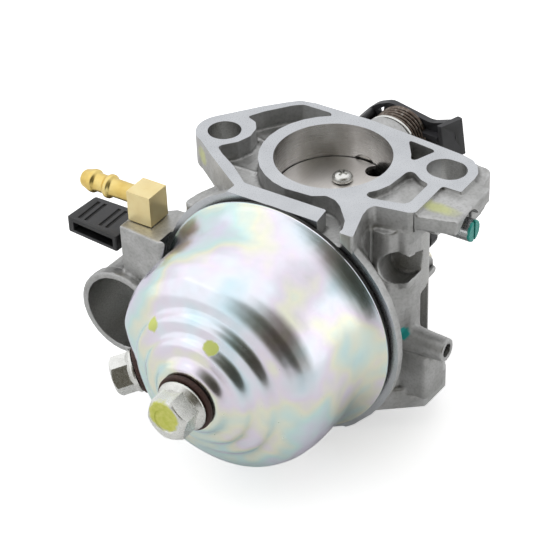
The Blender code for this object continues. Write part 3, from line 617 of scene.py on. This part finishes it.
def spring_steel():
    """Oil-tempered spring wire, coppery brown with bright rubbed crowns."""
    f = Finish("spring_wire", 0.32, 1.0)
    rub = f.noise(1.1, 3)
    f.give("Base Color", f.ramp(rub, (0.3, (0.10, 0.07, 0.055)), (0.55, (0.19, 0.155, 0.13)),
                                (0.75, (0.40, 0.37, 0.34))))
    f.give("Roughness", f.level(rub, 0.26, 0.42))
    f.relief((f.noise(0.2, 2), 0.004))
    return f.material


def brass(name="pale_brass"):
    """Pale machined brass, slightly tarnished, with painted shade in its concave corners and a painted highlight
    on its edges.
    """
    f = Finish(name, 0.36, 1.0)
    tarnish = f.noise(5, 4)
    tooling = f.noise(0.3, 2, (1, 0.15, 0.15))
    colour = f.ramp(tarnish, (0.3, (0.78, 0.55, 0.15)), (0.5, (0.88, 0.66, 0.22)),
                    (0.72, (0.94, 0.76, 0.32)))
    # painted shade: concave corners darkened
    colour = f.blend(f.sum("MULTIPLY", f.hollows(), 0.6), colour, (0.40, 0.29, 0.12))
    # painted highlight: convex edges lightened to pale gold
    colour = f.blend(f.sum("MULTIPLY", f.ridges(), 0.5), colour, (0.96, 0.88, 0.62))
    f.give("Base Color", colour)
    f.give("Roughness", f.level(tooling, 0.28, 0.42, 0.3, 0.7))
    f.relief((tooling, 0.006), (f.noise(0.9, 3), 0.01))
    return f.material


def black_plastic():
    """Moulded glass-filled nylon: near black, satin, finely textured, with a painted highlight on its edges."""
    f = Finish("black_nylon", 0.42, 0.0)
    cloud = f.noise(4, 4)
    colour = f.ramp(cloud, (0.3, (0.008, 0.008, 0.009)), (0.7, (0.020, 0.020, 0.021)))
    # painted highlight: convex edges lightened to dark grey
    colour = f.blend(f.sum("MULTIPLY", f.ridges(), 0.35), colour, (0.08, 0.08, 0.09))
    f.give("Base Color", colour)
    f.give("Roughness", f.level(f.noise(0.8, 3), 0.34, 0.5))
    f.relief((f.noise(0.28, 3), 0.018), (f.noise(3, 2), 0.03))
    return f.material


def rubber():
    """Moulded seal rubber."""
    f = Finish("seal_rubber", 0.68, 0.0)
    bloom = f.noise(1.5, 4)
    f.give("Base Color", f.ramp(bloom, (0.3, (0.018, 0.018, 0.018)), (0.75, (0.055, 0.055, 0.053))))
    f.give("Roughness", f.level(bloom, 0.58, 0.8))
    f.relief((f.noise(0.3, 3), 0.01))
    return f.material


def red_fibre():
    """Pressed vulcanised fibre: red-brown, with short fibres in it."""
    f = Finish("vulcanised_fibre", 0.6, 0.0)
    fibres = f.noise(0.35, 4, (1, 1, 0.35))
    f.give("Base Color", f.ramp(fibres, (0.3, (0.03, 0.013, 0.010)), (0.55, (0.065, 0.027, 0.020)),
                                (0.8, (0.14, 0.07, 0.05))))
    f.give("Roughness", f.level(fibres, 0.5, 0.72))
    f.relief((fibres, 0.03))
    return f.material


def felt():
    """Oiled felt: grey-brown with a short nap."""
    f = Finish("oiled_felt", 0.92, 0.0)
    nap = f.noise(0.25, 5, (1, 1, 1), 0.7)
    f.give("Base Color", f.ramp(nap, (0.3, (0.12, 0.10, 0.08)), (0.7, (0.30, 0.27, 0.22))))
    f.give("Sheen Weight", 0.3)
    f.relief((nap, 0.12))
    return f.material


# ---------------------------------------------------------------- the casting

def casting_stock():
    """The CAD casting in millimetres, ready for its skin.

    It has extra metal on its machined faces, low ribs in its pocket and the screw block joined again.
    """
    bm = bmesh.new()
    bm.from_mesh(frame["nodes"]["carburetor_body"].data)
    bm.transform(TO_MM)
    bmesh.ops.remove_doubles(bm, verts=bm.verts, dist=0.001)
    for vert in bm.verts:
        if abs(vert.co.y) < 0.01:
            vert.co.y -= MACHINING_STOCK
        elif abs(vert.co.y - LENGTH) < 0.01:
            vert.co.y += MACHINING_STOCK
        if abs(vert.co.z - BOWL_FACE_Z) < 0.01:
            vert.co.z -= MACHINING_STOCK
    obj = temporary(mesh_of(bm))
    ribs = [rod((-28.4, 5.6, 4.6), (-20.0, 5.6, 1.8), 0.8, 16),
            rod((-26, 5.6, -11), (-17.5, 5.6, -11), 0.8, 16)]
    screw_block = prism([(31, -13.0), (42.4, -9.8), (42.4, 8.3), (31, 8.3)], "y", 1.02, 5.22)
    combined(obj, "UNION", ribs + [screw_block])
    return obj


def skin(obj, voxel=0.42):
    """Gives the raw casting the small radii of a die casting all over."""
    remesh = obj.modifiers.new("skin", "REMESH")
    remesh.mode = "VOXEL"
    remesh.voxel_size = voxel
    smooth = obj.modifiers.new("flow", "SMOOTH")
    smooth.factor = 0.5
    smooth.iterations = 2
    settled(obj)
    thin = obj.modifiers.new("fewer_faces", "DECIMATE")
    thin.ratio = 0.30
    settled(obj)


def face_cutters():
    front = block((-80, -20, -60), (80, 0, 60))
    rear = block((-80, LENGTH, -25.8), (80, LENGTH + 20, 60))
    gasket = washer((0, BOWL_Y, BOWL_FACE_Z), (0, 0, -1), 5, WALL_R - 3.2, RIM_R + 2.4, 160)
    return [front, rear, gasket]


def bore_cutters():
    """The air passage, the holes of shafts, studs, jets, screws and fuel fittings, and sharp small cuts.

    Those cuts are the slot in a pocket, the relief round the pilot screw and a crease beside its block.
    """
    air = turned([(-5, 0), (-5, BORE_R), (17, BORE_R), (22, 14.6), (30, 11.5), (34, 11.5), (42, 13.5),
                  (LENGTH + 5, 13.5), (LENGTH + 5, 0)], (0, 0, 0), (0, 1, 0), 160)
    x, z = STUD_RIGHT
    obround = arc((x + STUD_HOLE_SHIFT, z), STUD_HOLE_R, -90, 90, 24)
    obround += arc((x - STUD_HOLE_SHIFT, z), STUD_HOLE_R, 90, 270, 24)
    slot = rounded([(17.3, -11.8), (28, -10.2), (26.5, -8.2), (17.8, -10.1)], 0.6)
    stem = SHAFT_R + 0.08
    return [
        air,
        rod((STUD_LEFT[0], -6, STUD_LEFT[1]), (STUD_LEFT[0], LENGTH + 6, STUD_LEFT[1]), STUD_HOLE_R, 64),
        prism(obround, "y", -6, 34),
        prism(slot, "y", -3, 6.5),
        rod((39.7, PILOT_AT.y, PILOT_AT.z), (46, PILOT_AT.y, PILOT_AT.z), 5.4, 64),
        block((31.6, -1, -16), (31.9, 6, -12.5)),
        rod((ENGINE_STUD[0], 30, ENGINE_STUD[1]), (ENGINE_STUD[0], LENGTH + 6, ENGINE_STUD[1]),
            STUD_HOLE_R - 0.3, 64),
        rod((0, CHOKE_Y, -18.4), (0, CHOKE_Y, 36), stem),
        rod((0, THROTTLE_Y, -17), (0, THROTTLE_Y, 36), stem),
        rod((46, *VENT_AXIS), (22, *VENT_AXIS), 1.9),
        rod((52, PILOT_AT.y, PILOT_AT.z), (26, PILOT_AT.y, PILOT_AT.z), stem),
        rod((IDLE_AT.x, 28, IDLE_AT.z), (IDLE_AT.x, 39, IDLE_AT.z), 2.1),
        rod((*JET_XY, 12), (*JET_XY, -9), 2.75),
        rod(ELBOW, (ELBOW[0], 22.6, ELBOW[2]), 3.25),
        turned([(0, 0), (0, 4.7), (10.2, 4.7), (10.2, 2.5), (18, 2.5), (18, 0)],
               (-56, VALVE_AT.y, VALVE_AT.z), (1, 0, 0), 48),
        rod((*CUP_CENTRE, CUP_RIM_Z - 3), (*CUP_CENTRE, CUP_RIM_Z + 13), CUP_R, 96),
    ]


def radius_from(centre, axis_point, axis):
    away = centre - Vector(axis_point)
    direction = Vector(axis)
    return (away - direction * away.dot(direction)).length


def surface_kind(centre, normal):
    """Which material a face of the casting has: 0 cast, 1 machined, 2 bored, 3 stud hole or cup seat."""
    if (abs(centre.y) < 0.02 or abs(centre.y - LENGTH) < 0.02) and abs(normal.y) > 0.99:
        return 1
    if abs(centre.z - BOWL_FACE_Z) < 0.02 and normal.z < -0.99:
        return 1
    if radius_from(centre, (0, 0, 0), (0, 1, 0)) < BORE_R + 0.05 and -1 < centre.y < LENGTH + 1:
        return 2
    studs = [(STUD_LEFT, STUD_HOLE_R), (ENGINE_STUD, STUD_HOLE_R), (STUD_RIGHT, STUD_HOLE_R + 0.5)]
    for (x, z), radius in studs:
        if math.hypot(centre.x - x, centre.z - z) < radius + 0.08 and abs(normal.y) < 0.5:
            return 3
    cup_radius = math.hypot(centre.x - CUP_CENTRE[0], centre.y - CUP_CENTRE[1])
    if cup_radius < CUP_R + 0.1 and centre.z > CUP_RIM_Z + 0.2:
        return 3
    return 0


def build_casting(looks):
    obj = casting_stock()
    skin(obj)
    combined(obj, "DIFFERENCE", face_cutters() + bore_cutters(), "MANIFOLD")
    mesh = obj.data
    bpy.data.objects.remove(obj)
    kinds = [surface_kind(face.center, face.normal) for face in mesh.polygons]
    finished = piece("carburetor_body", looks[0], mesh, edge=0)
    for look in looks[1:]:
        mesh.materials.append(look)
    mesh.polygons.foreach_set("material_index", kinds)
    mesh.set_sharp_from_angle(angle=math.radians(38))
    finished.modifiers["even_shading"].keep_sharp = True
    return finished


# ---------------------------------------------------------------- float bowl

def flattened(mesh, limit_of):
    """Presses the vertices beyond the drain seat's plane back onto it, with a soft edge."""
    softness = 0.5
    for vert in mesh.vertices:
        beyond = (vert.co - DRAIN_SEAT).dot(DRAIN_AXIS) - limit_of(vert.index)
        if beyond <= -softness:
            continue
        push = beyond if beyond >= softness else (beyond + softness) ** 2 / (4 * softness)
        vert.co -= DRAIN_AXIS * push


def build_bowl(look):
    """The pressed bowl: one outline turned round, offset inwards by the sheet, with the drain seat flat."""
    depth = BOWL_HIGH.z - BOWL_LOW.z
    bend_steps = 7
    rim_points = 2 * bend_steps     # the outline's points round the rim's edge, which have no inner twin
    flare = [(0.95, RIM_R - 0.3), (1.3, 33.9), (2.2, 33.2), (3.5, 32.45), (5.2, 31.75), (7.2, 31.25)]
    wall = [(9.6, WALL_R), (20, WALL_R), (25, 30.2), (29, 28.4), (31.4, 25.4), (32.3, 21.6), (34.6, 20.2),
            (35.4, 16.4), (37.6, 15), (38.3, 11.2), (depth, 9.4), (depth, 3.6)]
    rim = [(0.0, RIM_R - 0.3), (0.3, RIM_R), (0.7, RIM_R)]
    outside = rounded_path(rim + flare + wall, 1.3, bend_steps)
    inside = [(max(along - SHEET, 0.0), radius - SHEET) for along, radius in outside[rim_points:-1]]
    inside.append((depth - SHEET, 3.6))
    profile = outside + inside[::-1]
    segments = 160
    mesh = turned(profile, (0, BOWL_Y, BOWL_HIGH.z), (0, 0, -1), segments, ring=True)
    first_inside = len(outside) * segments
    flattened(mesh, lambda index: -SHEET if index >= first_inside else 0.0)
    piece("float_bowl", look, mesh, edge=0)


def hexagon_bolt(start, axis, flange_r, across_flats, height, shank):
    """A flanged bolt with a chamfered hexagon and a shallow dish in its end."""
    washer_face = rounded_path([(0, 0), (0, flange_r), (0.8, flange_r), (2.0, across_flats * 0.52),
                                (2.0, 0)], 0.3, 3)
    corner_r = across_flats / math.sqrt(3)
    hexagonal = turned([(1.4, 0), (1.4, corner_r), (height, corner_r), (height, 0)], start, axis, 6)
    crown = turned([(0, 0), (0, corner_r + 2), (height - 1.0, corner_r + 0.35),
                    (height, across_flats * 0.475), (height, 0)], start, axis, 72)
    dish = turned([(height - 0.25, 0), (height - 0.25, across_flats * 0.30),
                   (height + 0.4, across_flats * 0.36), (height + 0.4, 0)], start, axis, 48)
    stem = rod(start - axis * shank, start + axis, 2.9, 32)
    hexagonal = shaped(hexagonal, common(crown))
    return shaped(turned(washer_face, start, axis, 72), add(hexagonal, stem), cut(dish))


def build_bolts(zinc, dotted_zinc, fibre):
    down = Vector((0, 0, -1))
    washer_top = extent("bowl_bolt_washer")[1].z
    bolt_end = extent("bowl_bolt")[0].z
    height = 7.4
    bolt_at = Vector((0, BOWL_Y, bolt_end + height))
    piece("bowl_bolt", dotted_zinc, hexagon_bolt(bolt_at, down, 7.2, 11.0, height, 16.0), 0.18)
    piece("bowl_bolt_washer", fibre, washer((0, BOWL_Y, washer_top), down, 1.4, 3.6, 8.0), 0.35)
    drain_at = DRAIN_SEAT + DRAIN_AXIS * 1.9
    piece("drain_bolt", zinc, hexagon_bolt(drain_at, DRAIN_AXIS, 6.0, 9.4, 6.6, 6.0), 0.16)
    piece("drain_bolt_washer", fibre, washer(DRAIN_SEAT + DRAIN_AXIS * 0.3, DRAIN_AXIS, 1.3, 3.6, 6.6), 0.3)


# ---------------------------------------------------------------- choke and throttle

def pan_screw(at, facing_y):
    """A cross-recessed pan screw whose head faces along y."""
    x, y, z = at
    profile = rounded_path([(0, 0), (0, 2.9), (0.8, 2.9), (1.7, 2.3), (2.1, 1.1), (2.1, 0)], 0.5, 4)
    head = turned(profile, at, (0, facing_y, 0), 48)
    stem = rod((x, y + 0.5 * facing_y, z), (x, y - 5.6 * facing_y, z), 1.45, 24)
    near, far = sorted((y + facing_y * 1.0, y + facing_y * 4))
    recess = [block((x - 0.35, near, z - 1.5), (x + 0.35, far, z + 1.5)),
              block((x - 1.5, near + 0.01, z - 0.36), (x + 1.5, far + 0.1, z + 0.36))]
    return shaped(head, add(stem), cut(*recess))


def build_choke(steel, plate_metal, zinc, wire, black):
    low, high = extent("choke_shaft")
    shaft = rod((0, CHOKE_Y, low.z), (0, CHOKE_Y, high.z), SHAFT_R)
    flat = block((-4, CHOKE_Y - 6, -BORE_R - 0.2), (4, CHOKE_Y - 0.2, BORE_R + 0.2))
    hole = rod((0, CHOKE_Y - 5, CHOKE_SCREW_Z), (0, CHOKE_Y + 5, CHOKE_SCREW_Z), 1.8, 24)
    piece("choke_shaft", steel, shaped(shaft, cut(flat, hole)), 0.25)
    low, high = extent("choke_plate")
    disc = rod((0, low.y, 0), (0, high.y, 0), (high.x - low.x) / 2, 128)
    notch = rod((5.4, low.y - 2, 12.6), (5.4, high.y + 2, 12.6), 2.7, 32)
    slot = block((-1.6, low.y - 1, -14.4), (1.6, high.y + 1, -13.6))
    screw_hole = rod((0, low.y - 2, CHOKE_SCREW_Z), (0, high.y + 2, CHOKE_SCREW_Z), 1.8, 24)
    piece("choke_plate", plate_metal, shaped(disc, cut(screw_hole, notch, slot)), 0.12)
    screw_at = (0, extent("choke_plate_screw")[0].y + 2.1, CHOKE_SCREW_Z)
    piece("choke_plate_screw", zinc, pan_screw(screw_at, -1), 0.08)
    ring_z = extent("choke_washer")[0].z
    piece("choke_washer", zinc, washer((0, CHOKE_Y, ring_z), (0, 0, 1), 0.9, 3.5, 8.0), 0.2)
    low, high = extent("choke_spring")
    spring = coil((0, CHOKE_Y, low.z), "z", 7.3, high.z - low.z, 6, 0.42)
    piece("choke_spring", wire, spring, 0)
    build_choke_lever(black)


def build_choke_lever(black):
    """The plastic choke lever: hub, cover plate over the spring, a claw on the left and a leaning vane."""
    foot_z = 31.2
    height = 40.6 - foot_z
    hub = turned(rounded_path([(0, 0), (0, 5.6), (height, 5.6), (height, 0)], 0.6, 4),
                 (0, CHOKE_Y, foot_z), (0, 0, 1), 64)
    outline = [(-12.4, 14.6), (-13, 10.2), (-8.8, 6.3), (-4.2, 4.4), (8.8, 7.2), (15.6, 4.9), (17, 10.5),
               (11, 16), (4, 20.4), (-5, 20)]
    plate = prism(rounded(outline, 1.5), "z", 37.2, 39.2)
    claw = prism(rounded([(-12.4, 14.6), (-13, 10.2), (-10, 7.6), (-8.7, 9), (-9.6, 14)], 0.8), "z", 32, 38)
    vane = prism(rounded([(12.8, 33.2), (14.2, 33.0), (17.1, 40.2), (15.4, 40.6)], 0.4, 3), "y", 4.7, 15.6)
    lean = Matrix.Identity(4)
    lean[0][1], lean[0][3] = 0.13, -4.7 * 0.13
    vane.transform(lean)
    web = prism([(5.4, 37.4), (13.4, 37.4), (12.2, 34.6), (5.4, 35.2)], "y", 9.6, 10.8)
    bore_hole = rod((0, CHOKE_Y, 30), (0, CHOKE_Y, 46), SHAFT_R + 0.3)
    window = prism([(-8.4, 8.0), (-6.2, 6.4), (-6.4, 8.2), (-8, 9.4)], "z", 36, 44)
    mesh = shaped(hub, add(plate, claw, vane, web), cut(bore_hole, window))
    piece("choke_lever", black, mesh, 0.25)


def build_throttle(steel, plate_metal, zinc, lever_zinc, felted):
    low, high = extent("throttle_shaft")
    radius = 13.5
    shaft = rod((0, THROTTLE_Y, low.z), (0, THROTTLE_Y, high.z), SHAFT_R)
    flat = block((-4, THROTTLE_Y + 0.2, -radius - 0.2), (4, THROTTLE_Y + 6, radius + 0.2))
    hole = rod((0, THROTTLE_Y - 5, 0), (0, THROTTLE_Y + 5, 0), 1.8, 24)
    piece("throttle_shaft", steel, shaped(shaft, cut(flat, hole)), 0.25)
    low, high = extent("throttle_plate")
    disc = rod((0, low.y, 0), (0, high.y, 0), (high.x - low.x) / 2, 128)
    screw_hole = rod((0, low.y - 2, 0), (0, high.y + 2, 0), 1.8, 24)
    piece("throttle_plate", plate_metal, shaped(disc, cut(screw_hole)), 0.12)
    screw_at = (0, extent("throttle_plate_screw")[1].y - 2.1, 0)
    piece("throttle_plate_screw", zinc, pan_screw(screw_at, 1), 0.08)
    seal_z = extent("throttle_seal")[0].z
    piece("throttle_seal", felted, washer((0, THROTTLE_Y, seal_z), (0, 0, 1), 1.6, 3.5, 5.8), 0.4)
    outline = [(-6, 44), (-12, 49), (-22, 52.6), (-25, 57), (-22, 61), (-8, 57.5), (6, 56), (13, 49.6),
               (13.2, 46.4), (6, 43.6)]
    arm = prism(rounded(outline, 2.4, 8), "z", 29.6, 31.4)
    collar = rod((0, THROTTLE_Y, 28.3), (0, THROTTLE_Y, 33.2), 5.0, 64)
    tab = block((IDLE_AT.x - 2, IDLE_AT.y + 0.12, 22), (IDLE_AT.x + 2, IDLE_AT.y + 1.6, 30.4))
    holes = [rod((0, THROTTLE_Y, 26), (0, THROTTLE_Y, 37), SHAFT_R + 0.3),
             rod((-21.2, 56.8, 28), (-21.2, 56.8, 33), 1.3, 24),
             rod((-15, 54.8, 28), (-15, 54.8, 33), 1.0, 24)]
    piece("throttle_lever", lever_zinc, shaped(arm, add(collar, tab), cut(*holes)), 0.2)


# ---------------------------------------------------------------- adjusters and inlet

def build_adjusters(zinc, sealed, black, wire):
    x, y, z = PILOT_AT
    plug = turned(rounded_path([(0, 0), (0, SHAFT_R), (9.6, SHAFT_R), (10, 1.6), (16, 1.2), (17, 0)], 0.4, 3),
                  PILOT_AT, (-1, 0, 0), 48)
    slot = block((x - 1.2, y - 4, z - 0.45), (x + 2, y + 4, z + 0.45))
    piece("pilot_screw", sealed, shaped(plug, cut(slot)), 0.15)
    profile = [(0, 0), (0, 2.4), (18.2, 2.4), (18.2, 4.2), (22.0, 4.2), (22.8, 3.2), (22.8, 0)]
    cap = turned(rounded_path(profile, 0.4, 3), (*JET_XY, -8), (0, 0, 1), 48)
    grips = [rod((JET_XY[0] + 4.5 * math.cos(a), JET_XY[1] + 4.5 * math.sin(a), 10.6),
                 (JET_XY[0] + 4.5 * math.cos(a), JET_XY[1] + 4.5 * math.sin(a), 16), 0.5, 12)
             for a in [2 * math.pi * step / 12 for step in range(12)]]
    way = rod((*JET_XY, -10), (*JET_XY, 4), 0.7, 16)
    piece("pilot_jet", black, shaped(cap, cut(way, *grips)), 0.12)
    x, y, z = IDLE_AT
    screw = turned(rounded_path([(0, 0), (0, 1.2), (2, 2.0), (20.8, 2.0), (20.8, 3.8), (24.0, 3.8),
                                 (24.4, 3.3), (24.4, 0)], 0.3, 3), IDLE_AT, (0, -1, 0), 48)
    slot = block((x - 5, y - 27, z - 0.5), (x + 5, y - 23.6, z + 0.5))
    piece("idle_stop_screw", zinc, shaped(screw, cut(slot)), 0.12)
    low, high = extent("idle_stop_spring")
    piece("idle_stop_spring", wire, coil((x, low.y, z), "y", 2.9, high.y - low.y, 4, 0.36), 0)


def build_inlet(metal, black, sealing):
    x, y, z = ELBOW
    cube = block((x - 3.8, y - 4.6, z - 3.9), (x + 3.8, y + 4.6, z + 3.9))
    thread = rod((x, y, z), (x, 22.2, z), 2.9, 40)
    nipple_y = y - 1.2
    profile = [(0, 0), (0, 2.6), (7.8, 2.6), (8.4, 3.4), (9.4, 3.4), (10.4, 2.6), (13.2, 2.6), (13.8, 3.3),
               (14.8, 3.3), (17.6, 2.4), (18.2, 1.8), (18.2, 0)]
    nipple = turned(rounded_path(profile, 0.35, 3), (x - 3.2, nipple_y, z), (-1, 0, 0), 64)
    ways = [rod((x, 27, z), (x, nipple_y, z), 1.5, 24),
            rod((x - 25, nipple_y, z), (x + 0.4, nipple_y, z), 1.5, 24)]
    piece("fuel_elbow", metal, shaped(cube, add(thread, nipple), cut(*ways)), 0.22)
    seal_x = extent("fuel_valve_seal")[0].x
    seal = washer((seal_x, VALVE_AT.y, VALVE_AT.z), (1, 0, 0), 2.0, 2.75, 4.4)
    piece("fuel_valve_seal", sealing, seal, 0.5)
    build_valve_lever(black)


def build_valve_lever(black):
    """The fuel-valve lever: a flat grip with two pairs of grooves, hollow from below."""
    y, z = VALVE_AT.y, VALVE_AT.z
    low, high = extent("fuel_valve_lever")
    outer_end, inner_end = low.x, low.x + 18.0
    grip = prism(rounded([(outer_end, z - 5.8), (outer_end + 0.9, z + 6.2), (inner_end, z + 6.3),
                          (inner_end, z - 7.2)], 0.8), "y", y - 2.4, y + 2.4)
    hollow = prism([(outer_end + 2, z - 9), (inner_end - 1.4, z - 9), (inner_end - 1.4, z + 3.8),
                    (outer_end + 2.6, z + 3.8)], "y", y - 1.2, y + 1.4)
    grooves = [block((x, y - 4, z - 4.6), (x + 1.0, y - 1.9, z + 4.6))
               for x in (outer_end + 3, outer_end + 5.2, outer_end + 10.2, outer_end + 12.4)]
    stem = rod((inner_end - 1, y, z), (high.x, y, z), 2.4)
    piece("fuel_valve_lever", black, shaped(grip, cut(hollow, *grooves), add(stem)), 0.28)


def dress_insides(metal, steel, black):
    """What the bowl hides keeps its CAD shape, with real finishes."""
    for node in ("main_jet", "emulsion_tube", "needle_seat"):
        dress(node, metal, 0.12)
    dress("float_needle", steel, 0.1)
    dress("float_pin", steel, 0.15)
    dress("float", black, 0.5)


# ---------------------------------------------------------------- studio

CAMERA_AT = Vector((225.34282, -270.55881, -359.27378))
CAMERA_LOOK = Vector((-0.45288609, 0.59126745, 0.66730577))
CAMERA_ROLL = -2.195            # degrees
UP = Vector((0, -1, 0))         # the object stands on its engine flange
TOWARD = (-CAMERA_LOOK - UP * UP.dot(-CAMERA_LOOK)).normalized()
RIGHT = UP.cross(TOWARD)


def studio_direction(right, up, toward):
    return (RIGHT * right + UP * up + TOWARD * toward).normalized()


def turned_to(look, up, roll=0.0):
    """Rotation of a camera or a light that looks along look."""
    back = -look.normalized()
    side = up.cross(back).normalized()
    top = back.cross(side)
    rotation = Matrix((side, top, back)).transposed()
    return (rotation @ Matrix.Rotation(math.radians(roll), 3, "Z")).to_4x4()


def build_camera():
    data = bpy.data.cameras.new("camera")
    data.sensor_width = 36.0
    data.lens = 122.14
    camera = bpy.data.objects.new("camera", data)
    camera.matrix_world = Matrix.Translation(TO_FRAME @ CAMERA_AT) @ turned_to(CAMERA_LOOK, UP, CAMERA_ROLL)
    bpy.context.scene.collection.objects.link(camera)
    bpy.context.scene.camera = camera


def softbox(name, direction, distance, size, power):
    """A square area light, distance and size in millimetres, aimed at the object's middle."""
    centre = (Vector(CAD_BOX[0]) + Vector(CAD_BOX[1])) / 2
    data = bpy.data.lights.new(name, "AREA")
    data.size = size * MM
    data.energy = power
    light = bpy.data.objects.new(name, data)
    hint = UP if abs(direction.dot(UP)) < 0.95 else TOWARD
    light.matrix_world = Matrix.Translation(centre + direction * distance * MM) @ turned_to(-direction, hint)
    bpy.context.scene.collection.objects.link(light)


def build_floor():
    """A pale round floor under the engine flange, seen only from above."""
    bm = bmesh.new()
    centre = (Vector(CAD_BOX[0]) + Vector(CAD_BOX[1])) / 2
    bmesh.ops.create_circle(bm, cap_ends=True, segments=96, radius=1.2)
    mesh = mesh_of(bm)
    floor = bpy.data.objects.new("studio_floor", mesh)
    bpy.context.scene.collection.objects.link(floor)
    floor_y = max(CAD_BOX[0][1], CAD_BOX[1][1]) + 0.001
    floor.matrix_world = Matrix.Translation((centre.x, floor_y, centre.z)) @ turned_to(-UP, TOWARD)
    material = bpy.data.materials.new("studio_floor")
    material.use_nodes = True
    tree = material.node_tree
    shader = tree.nodes["Principled BSDF"]
    shader.inputs["Base Color"].default_value = (0.93, 0.93, 0.93, 1)
    shader.inputs["Roughness"].default_value = 0.6
    path = tree.nodes.new("ShaderNodeLightPath")
    tree.links.new(path.outputs["Is Camera Ray"], shader.inputs["Emission Strength"])
    shader.inputs["Emission Color"].default_value = (0.55, 0.55, 0.55, 1)
    clear = tree.nodes.new("ShaderNodeBsdfTransparent")
    mix = tree.nodes.new("ShaderNodeMixShader")
    geometry = tree.nodes.new("ShaderNodeNewGeometry")
    tree.links.new(geometry.outputs["Backfacing"], mix.inputs[0])
    tree.links.new(shader.outputs[0], mix.inputs[1])
    tree.links.new(clear.outputs[0], mix.inputs[2])
    tree.links.new(mix.outputs[0], tree.nodes["Material Output"].inputs["Surface"])
    mesh.materials.append(material)


def build_world():
    """White for the camera. In reflections, a pale studio with a dark room behind the camera."""
    world = bpy.data.worlds.new("studio")
    bpy.context.scene.world = world
    world.use_nodes = True
    tree = world.node_tree
    nodes, links = tree.nodes, tree.links
    room = nodes["Background"]
    coordinates = nodes.new("ShaderNodeTexCoord")
    dot = nodes.new("ShaderNodeVectorMath")
    dot.operation = "DOT_PRODUCT"
    links.new(coordinates.outputs["Generated"], dot.inputs[0])
    dot.inputs[1].default_value = studio_direction(0.25, 0.32, 0.90)
    ramp = nodes.new("ShaderNodeValToRGB")
    stops = [(0.0, (0.88, 0.885, 0.89)), (0.50, (0.88, 0.885, 0.89)), (0.80, (0.16, 0.15, 0.11)),
             (0.94, (0.045, 0.04, 0.028))]
    elements = ramp.color_ramp.elements
    while len(elements) < len(stops):
        elements.new(0.5)
    for element, (place, colour) in zip(elements, stops):
        element.position = place
        element.color = (*colour, 1)
    links.new(dot.outputs["Value"], ramp.inputs["Fac"])
    links.new(ramp.outputs["Color"], room.inputs["Color"])
    white = nodes.new("ShaderNodeBackground")
    white.inputs["Color"].default_value = (1, 1, 1, 1)
    path = nodes.new("ShaderNodeLightPath")
    mix = nodes.new("ShaderNodeMixShader")
    links.new(path.outputs["Is Camera Ray"], mix.inputs[0])
    links.new(room.outputs[0], mix.inputs[1])
    links.new(white.outputs[0], mix.inputs[2])
    links.new(mix.outputs[0], nodes["World Output"].inputs["Surface"])


def build_studio():
    build_camera()
    build_floor()
    build_world()
    softbox("overhead", studio_direction(-0.2, 1.0, -0.25), 600, 1000, 0.7)
    softbox("left", studio_direction(-1.0, 0.3, 0.2), 700, 900, 0.4)
    softbox("right", studio_direction(1.0, -0.05, 0.2), 700, 800, 0.6)
    bpy.context.scene.view_settings.view_transform = "Standard"


# ---------------------------------------------------------------- assembly

def main():
    zinc = bright_zinc("bright_zinc_plate")
    bolt_end = extent("bowl_bolt")[0].z
    dotted = bright_zinc("bright_zinc_with_dot", dot=((-0.7, BOWL_Y - 1.2, bolt_end), 4.3, 0.35))
    sealed = bright_zinc("bright_zinc_sealed", (0.66, 0.68, 0.70), sealed_from=PILOT_AT.x - 0.7)
    lever_zinc = bright_zinc("yellow_zinc_plate", (0.82, 0.78, 0.62))
    steel, wire = shaft_steel(), spring_steel()
    metal, black, seal = brass(), black_plastic(), rubber()
    fibre = red_fibre()
    build_casting([cast_metal(), machined_metal(), bored_metal(), drilled_metal()])
    build_bowl(iridescent_zinc())
    gasket_top = extent("bowl_gasket")[1].z
    gasket = washer((0, BOWL_Y, gasket_top), (0, 0, -1), 0.9, WALL_R + 0.4, RIM_R - 0.4, 128)
    piece("bowl_gasket", seal, gasket, 0.2)
    build_bolts(zinc, dotted, fibre)
    build_choke(steel, choke_plate_brass(), zinc, wire, black)
    build_throttle(steel, metal, zinc, lever_zinc, felt())
    build_adjusters(zinc, sealed, black, wire)
    build_inlet(metal, black, seal)
    dress_insides(metal, steel, black)
    build_studio()


main()
bpy.context.view_layer.update()
